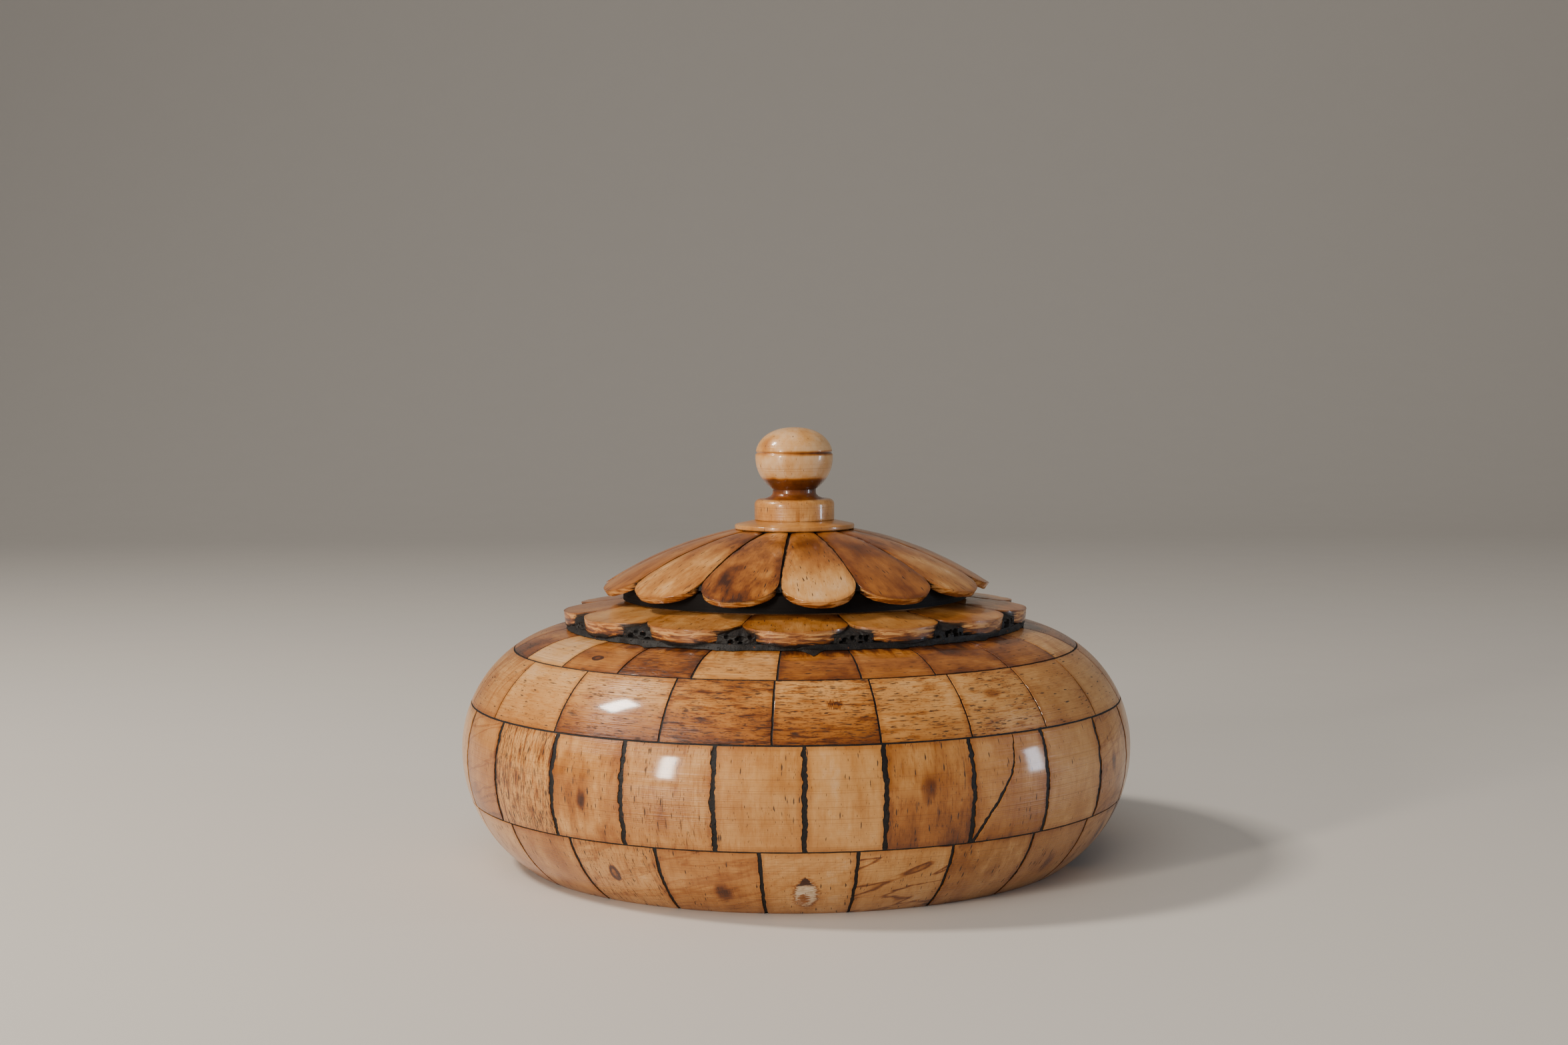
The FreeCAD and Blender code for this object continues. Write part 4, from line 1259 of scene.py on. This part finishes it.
def build_ball(finial):
    """Neck and ball in one turned piece."""
    p = finial
    middle = Vector((0.0, p.ball_centre))

    def on_ball(height):
        return Vector((math.sqrt(p.ball_radius ** 2 - height ** 2), p.ball_centre + height))

    groove_low = on_ball(p.groove_height - p.groove_depth)
    groove_high = on_ball(p.groove_height + p.groove_depth)
    groove = Vector((on_ball(p.groove_height).x - p.groove_depth, p.ball_centre + p.groove_height))

    def crown(turn):
        """Upper half of the ball, flatter than a ball."""
        return Vector((p.ball_radius * rounded(math.cos(turn), BALL_POWER),
                       p.ball_centre + (p.ball_top - p.ball_centre) * rounded(math.sin(turn), BALL_POWER)))

    section = [Vector((0.0, p.base_top + p.hole_depth)), Vector((p.hole_radius, p.base_top + p.hole_depth)),
               Vector((p.hole_radius, p.base_top)), Vector((p.neck_foot, p.base_top))]
    section += [Vector((p.neck_radius + out * MM, p.base_top + up * MM)) for out, up in NECK_COVE]
    section += arc_points(middle, Vector((p.neck_radius, p.neck_top)), groove_low, BALL_STEPS)
    section += [groove]
    start = math.asin(((groove_high.y - p.ball_centre) / (p.ball_top - p.ball_centre)) ** (BALL_POWER / 2))
    sweep = math.pi / 2 - start
    section += [crown(start + sweep * k / BALL_STEPS) for k in range(BALL_STEPS)]
    section += [Vector((0.0, p.ball_top))]
    bm = turn_section(section, closed=False)
    lips = [e for e in corner_edges(bm, 0.35)
            if abs(e.verts[0].co.z - p.ball_centre - p.groove_height) < 0.5 * MM]
    soften(bm, lips, 0.1 * MM, 2)
    blush_centre = Vector((-5.0 * MM, -4.2 * MM, p.ball_centre + 2.3 * MM))

    def tone(at):
        height = at.z - p.ball_centre
        wave = 0.25 * MM * wobble(Vector((at.x, at.y, 0.0)), 5.0 * MM)
        line = near(height, p.groove_height, 0.55 * MM)
        # Under the ball's middle it turns dark: brown stain, and painted shade on the ball's underside and
        # the neck.
        foot = min(1.0, max(0.0, (-3.5 * MM + wave - height) / (0.5 * MM)))
        blush = near((at - blush_centre).length, 0.0, 3.0 * MM)
        waist = 0.14 if at.z < p.neck_top - 0.2 * MM else 0.0
        # The turned line's stain darkens towards +X, away from the key lamp: painted shade.
        shade = min(1.0, max(0.25, 0.55 + at.x / (8.0 * MM)))
        return 0.08 + 0.95 * line * shade + (0.78 - waist) * foot + 0.35 * blush

    paint_turned(bm, replace(PALE, mottle=0.3, streaks=0.2), tone)
    add_piece("bone_finial_ball", bm, "finial_bone_finish", "lid", ["finial_ball"])


class MOSAIC_OT_tile_courses(bpy.types.Operator):
    """Make the four courses of bone tiles"""
    bl_idname = "mosaic_box.tile_courses"
    bl_label = "Tile Courses"

    def execute(self, context):
        body = context.scene.mosaic_box.body
        for course in COURSES:
            build_course(course, body, Skin(body))
        return {"FINISHED"}


class MOSAIC_OT_joint_mastic(bpy.types.Operator):
    """Fill the joints and seams between the tiles with mastic"""
    bl_idname = "mosaic_box.joint_mastic"
    bl_label = "Joint Mastic"

    def execute(self, context):
        body = context.scene.mosaic_box.body
        for course in COURSES:
            build_filler(course, body, Skin(body))
        build_seams(body, Skin(body))
        return {"FINISHED"}


class MOSAIC_OT_collar(bpy.types.Operator):
    """Make the collar's petals and the mastic that holds them"""
    bl_idname = "mosaic_box.collar"
    bl_label = "Collar"

    def execute(self, context):
        props = context.scene.mosaic_box
        build_petals("collar", "box", CollarTop(props.collar), COLLAR_JOINTS, COLLAR_LOOKS, (TAN, HONEY),
                     COLLAR_SEED)
        build_collar_mastic(props.body, props.collar, Skin(props.body))
        return {"FINISHED"}


class MOSAIC_OT_lid_petals(bpy.types.Operator):
    """Make the lid's petals and the mastic between them"""
    bl_idname = "mosaic_box.lid_petals"
    bl_label = "Lid Petals"

    def execute(self, context):
        lid = context.scene.mosaic_box.lid
        build_petals("lid", "lid", LidTop(lid), LID_JOINTS, LID_LOOKS, (TAN, HONEY, AMBER), LID_SEED)
        build_lid_filler(lid)
        return {"FINISHED"}


class MOSAIC_OT_finial(bpy.types.Operator):
    """Turn the finial's disc, drum and ball"""
    bl_idname = "mosaic_box.finial"
    bl_label = "Finial"

    def execute(self, context):
        finial = context.scene.mosaic_box.finial
        build_disc(finial)
        build_drum(finial)
        build_ball(finial)
        return {"FINISHED"}


class MOSAIC_OT_wooden_parts(bpy.types.Operator):
    """Give the wooden core, lid and dowel their finish"""
    bl_idname = "mosaic_box.wooden_parts"
    bl_label = "Wooden Parts"

    def execute(self, context):
        wood = {"core_bowl": "core_wood_finish", "core_shoulder": "core_wood_finish",
                "lid_core": "lid_wood_finish", "finial_dowel": "dowel_wood_finish"}
        for node, finish in wood.items():
            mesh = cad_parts[node].data
            mesh.materials.clear()
            mesh.materials.append(finishes()[finish])
        return {"FINISHED"}


FLOOR_SHADE = (0.5, 0.47, 0.43)
CAMERA_PLACE = (0.0, -0.39237, 0.08423)
CAMERA_TURNS = (0.062933, -0.0048523, -0.0069666)    # pitch, yaw and roll, fitted to the photo


def add_light(name, place, target, size, power, tint, mirrored=True):
    """A soft rectangular lamp that faces a point; it may be kept out of the lacquer's reflections."""
    lamp = bpy.data.lights.new(name, "AREA")
    lamp.shape = "RECTANGLE"
    lamp.size, lamp.size_y = size
    lamp.energy = power
    lamp.color = tint
    holder = bpy.data.objects.new(name, lamp)
    holder.location = place
    holder.visible_glossy = mirrored
    holder.rotation_euler = (Vector(target) - Vector(place)).to_track_quat("-Z", "Y").to_euler()
    bpy.context.scene.collection.objects.link(holder)


class MOSAIC_OT_stage(bpy.types.Operator):
    """Set up the floor, the lights and the camera"""
    bl_idname = "mosaic_box.stage"
    bl_label = "Stage"

    def execute(self, context):
        stage = context.scene.mosaic_box.stage
        self.lay_floor(stage)
        self.light(stage)
        self.aim_camera()
        return {"FINISHED"}

    def lay_floor(self, stage):
        f = Finish("floor_finish")
        grain = f.noise(f.stretch(f.place(), 0.05, 0.05, 0.05), 3.0)
        f.surface(Base_Color=f.mix(grain * 0.12, stage.floor, FLOOR_SHADE), Roughness=0.55 + 0.1 * grain)
        bm = bmesh.new()
        bmesh.ops.create_grid(bm, x_segments=1, y_segments=1, size=stage.floor_size / 2)
        far = max(bm.edges, key=lambda e: e.verts[0].co.y + e.verts[1].co.y)
        wall = bmesh.ops.extrude_edge_only(bm, edges=[far])
        bmesh.ops.translate(bm, verts=new_verts(wall), vec=(0.0, 0.0, stage.floor_size / 2))
        soften(bm, [far], stage.floor_size / 4, 24)
        mesh = bpy.data.meshes.new("floor")
        bm.to_mesh(mesh)
        bm.free()
        mesh.shade_smooth()
        mesh.materials.append(f.material)
        floor = bpy.data.objects.new("floor", mesh)
        bpy.context.scene.collection.objects.link(floor)

    def light(self, stage):
        world = bpy.data.worlds.new("studio")
        world.use_nodes = True
        background = world.node_tree.nodes["Background"]
        background.inputs["Color"].default_value = (*stage.sky, 1.0)
        background.inputs["Strength"].default_value = stage.sky_strength
        bpy.context.scene.world = world
        middle = (0.0, 0.0, 0.03)
        add_light("key", (-0.50, -0.56, 0.20), middle, (0.06, 0.22), 4.5, (1.0, 0.90, 0.78))
        add_light("top", (-0.50, -0.03, 0.58), middle, (0.09, 0.12), 4.5, (1.0, 0.92, 0.82))
        add_light("front", (-0.20, -0.80, 0.95), middle, (0.9, 0.9), 5.5, (1.0, 0.95, 0.88), mirrored=False)
        add_light("side", (0.75, -0.10, 0.06), middle, (0.08, 0.26), 1.8, (0.72, 0.84, 1.0))

    def aim_camera(self):
        pitch, yaw, roll = CAMERA_TURNS
        ahead = Vector((math.sin(yaw) * math.cos(pitch), math.cos(yaw) * math.cos(pitch), -math.sin(pitch)))
        level = ahead.cross(Vector(AXIS)).normalized()
        plumb = level.cross(ahead)
        right = level * math.cos(roll) + plumb * math.sin(roll)
        up = plumb * math.cos(roll) - level * math.sin(roll)
        lens = bpy.data.cameras.new("camera")
        lens.lens, lens.sensor_width, lens.sensor_fit = 50.0, 36.0, "HORIZONTAL"
        lens.clip_start = 0.01
        camera = bpy.data.objects.new("camera", lens)
        turn = Matrix((right, up, -ahead)).transposed().to_4x4()
        camera.matrix_world = Matrix.Translation(CAMERA_PLACE) @ turn
        bpy.context.scene.collection.objects.link(camera)
        bpy.context.scene.camera = camera


class MOSAIC_PT_sidebar(bpy.types.Panel):
    """Sizes, colours and making of the box"""
    bl_label = "Mosaic Box"
    bl_idname = "MOSAIC_PT_sidebar"
    bl_space_type = "VIEW_3D"
    bl_region_type = "UI"
    bl_category = "Mosaic Box"

    def draw(self, context):
        props = context.scene.mosaic_box
        for title in ("body", "collar", "lid", "finial", "finish", "stage"):
            group = getattr(props, title)
            box = self.layout.box()
            box.label(text=title.capitalize())
            for name in group.__annotations__:
                box.prop(group, name)
        for operator in OPERATORS:
            self.layout.operator(operator.bl_idname)


OPERATORS = (MOSAIC_OT_tile_courses, MOSAIC_OT_joint_mastic, MOSAIC_OT_collar, MOSAIC_OT_lid_petals,
             MOSAIC_OT_finial, MOSAIC_OT_wooden_parts, MOSAIC_OT_stage)
CLASSES = (BodyProps, CollarProps, LidProps, FinialProps, FinishProps, StageProps, MosaicProps, *OPERATORS,
           MOSAIC_PT_sidebar)


def register():
    for each in CLASSES:
        bpy.utils.register_class(each)
    bpy.types.Scene.mosaic_box = PointerProperty(type=MosaicProps)


def unregister():
    del bpy.types.Scene.mosaic_box
    for each in reversed(CLASSES):
        bpy.utils.unregister_class(each)


def main():
    register()
    bpy.ops.mosaic_box.tile_courses()
    bpy.ops.mosaic_box.joint_mastic()
    bpy.ops.mosaic_box.collar()
    bpy.ops.mosaic_box.lid_petals()
    bpy.ops.mosaic_box.finial()
    bpy.ops.mosaic_box.wooden_parts()
    bpy.ops.mosaic_box.stage()


if __name__ == "__main__":
    main()
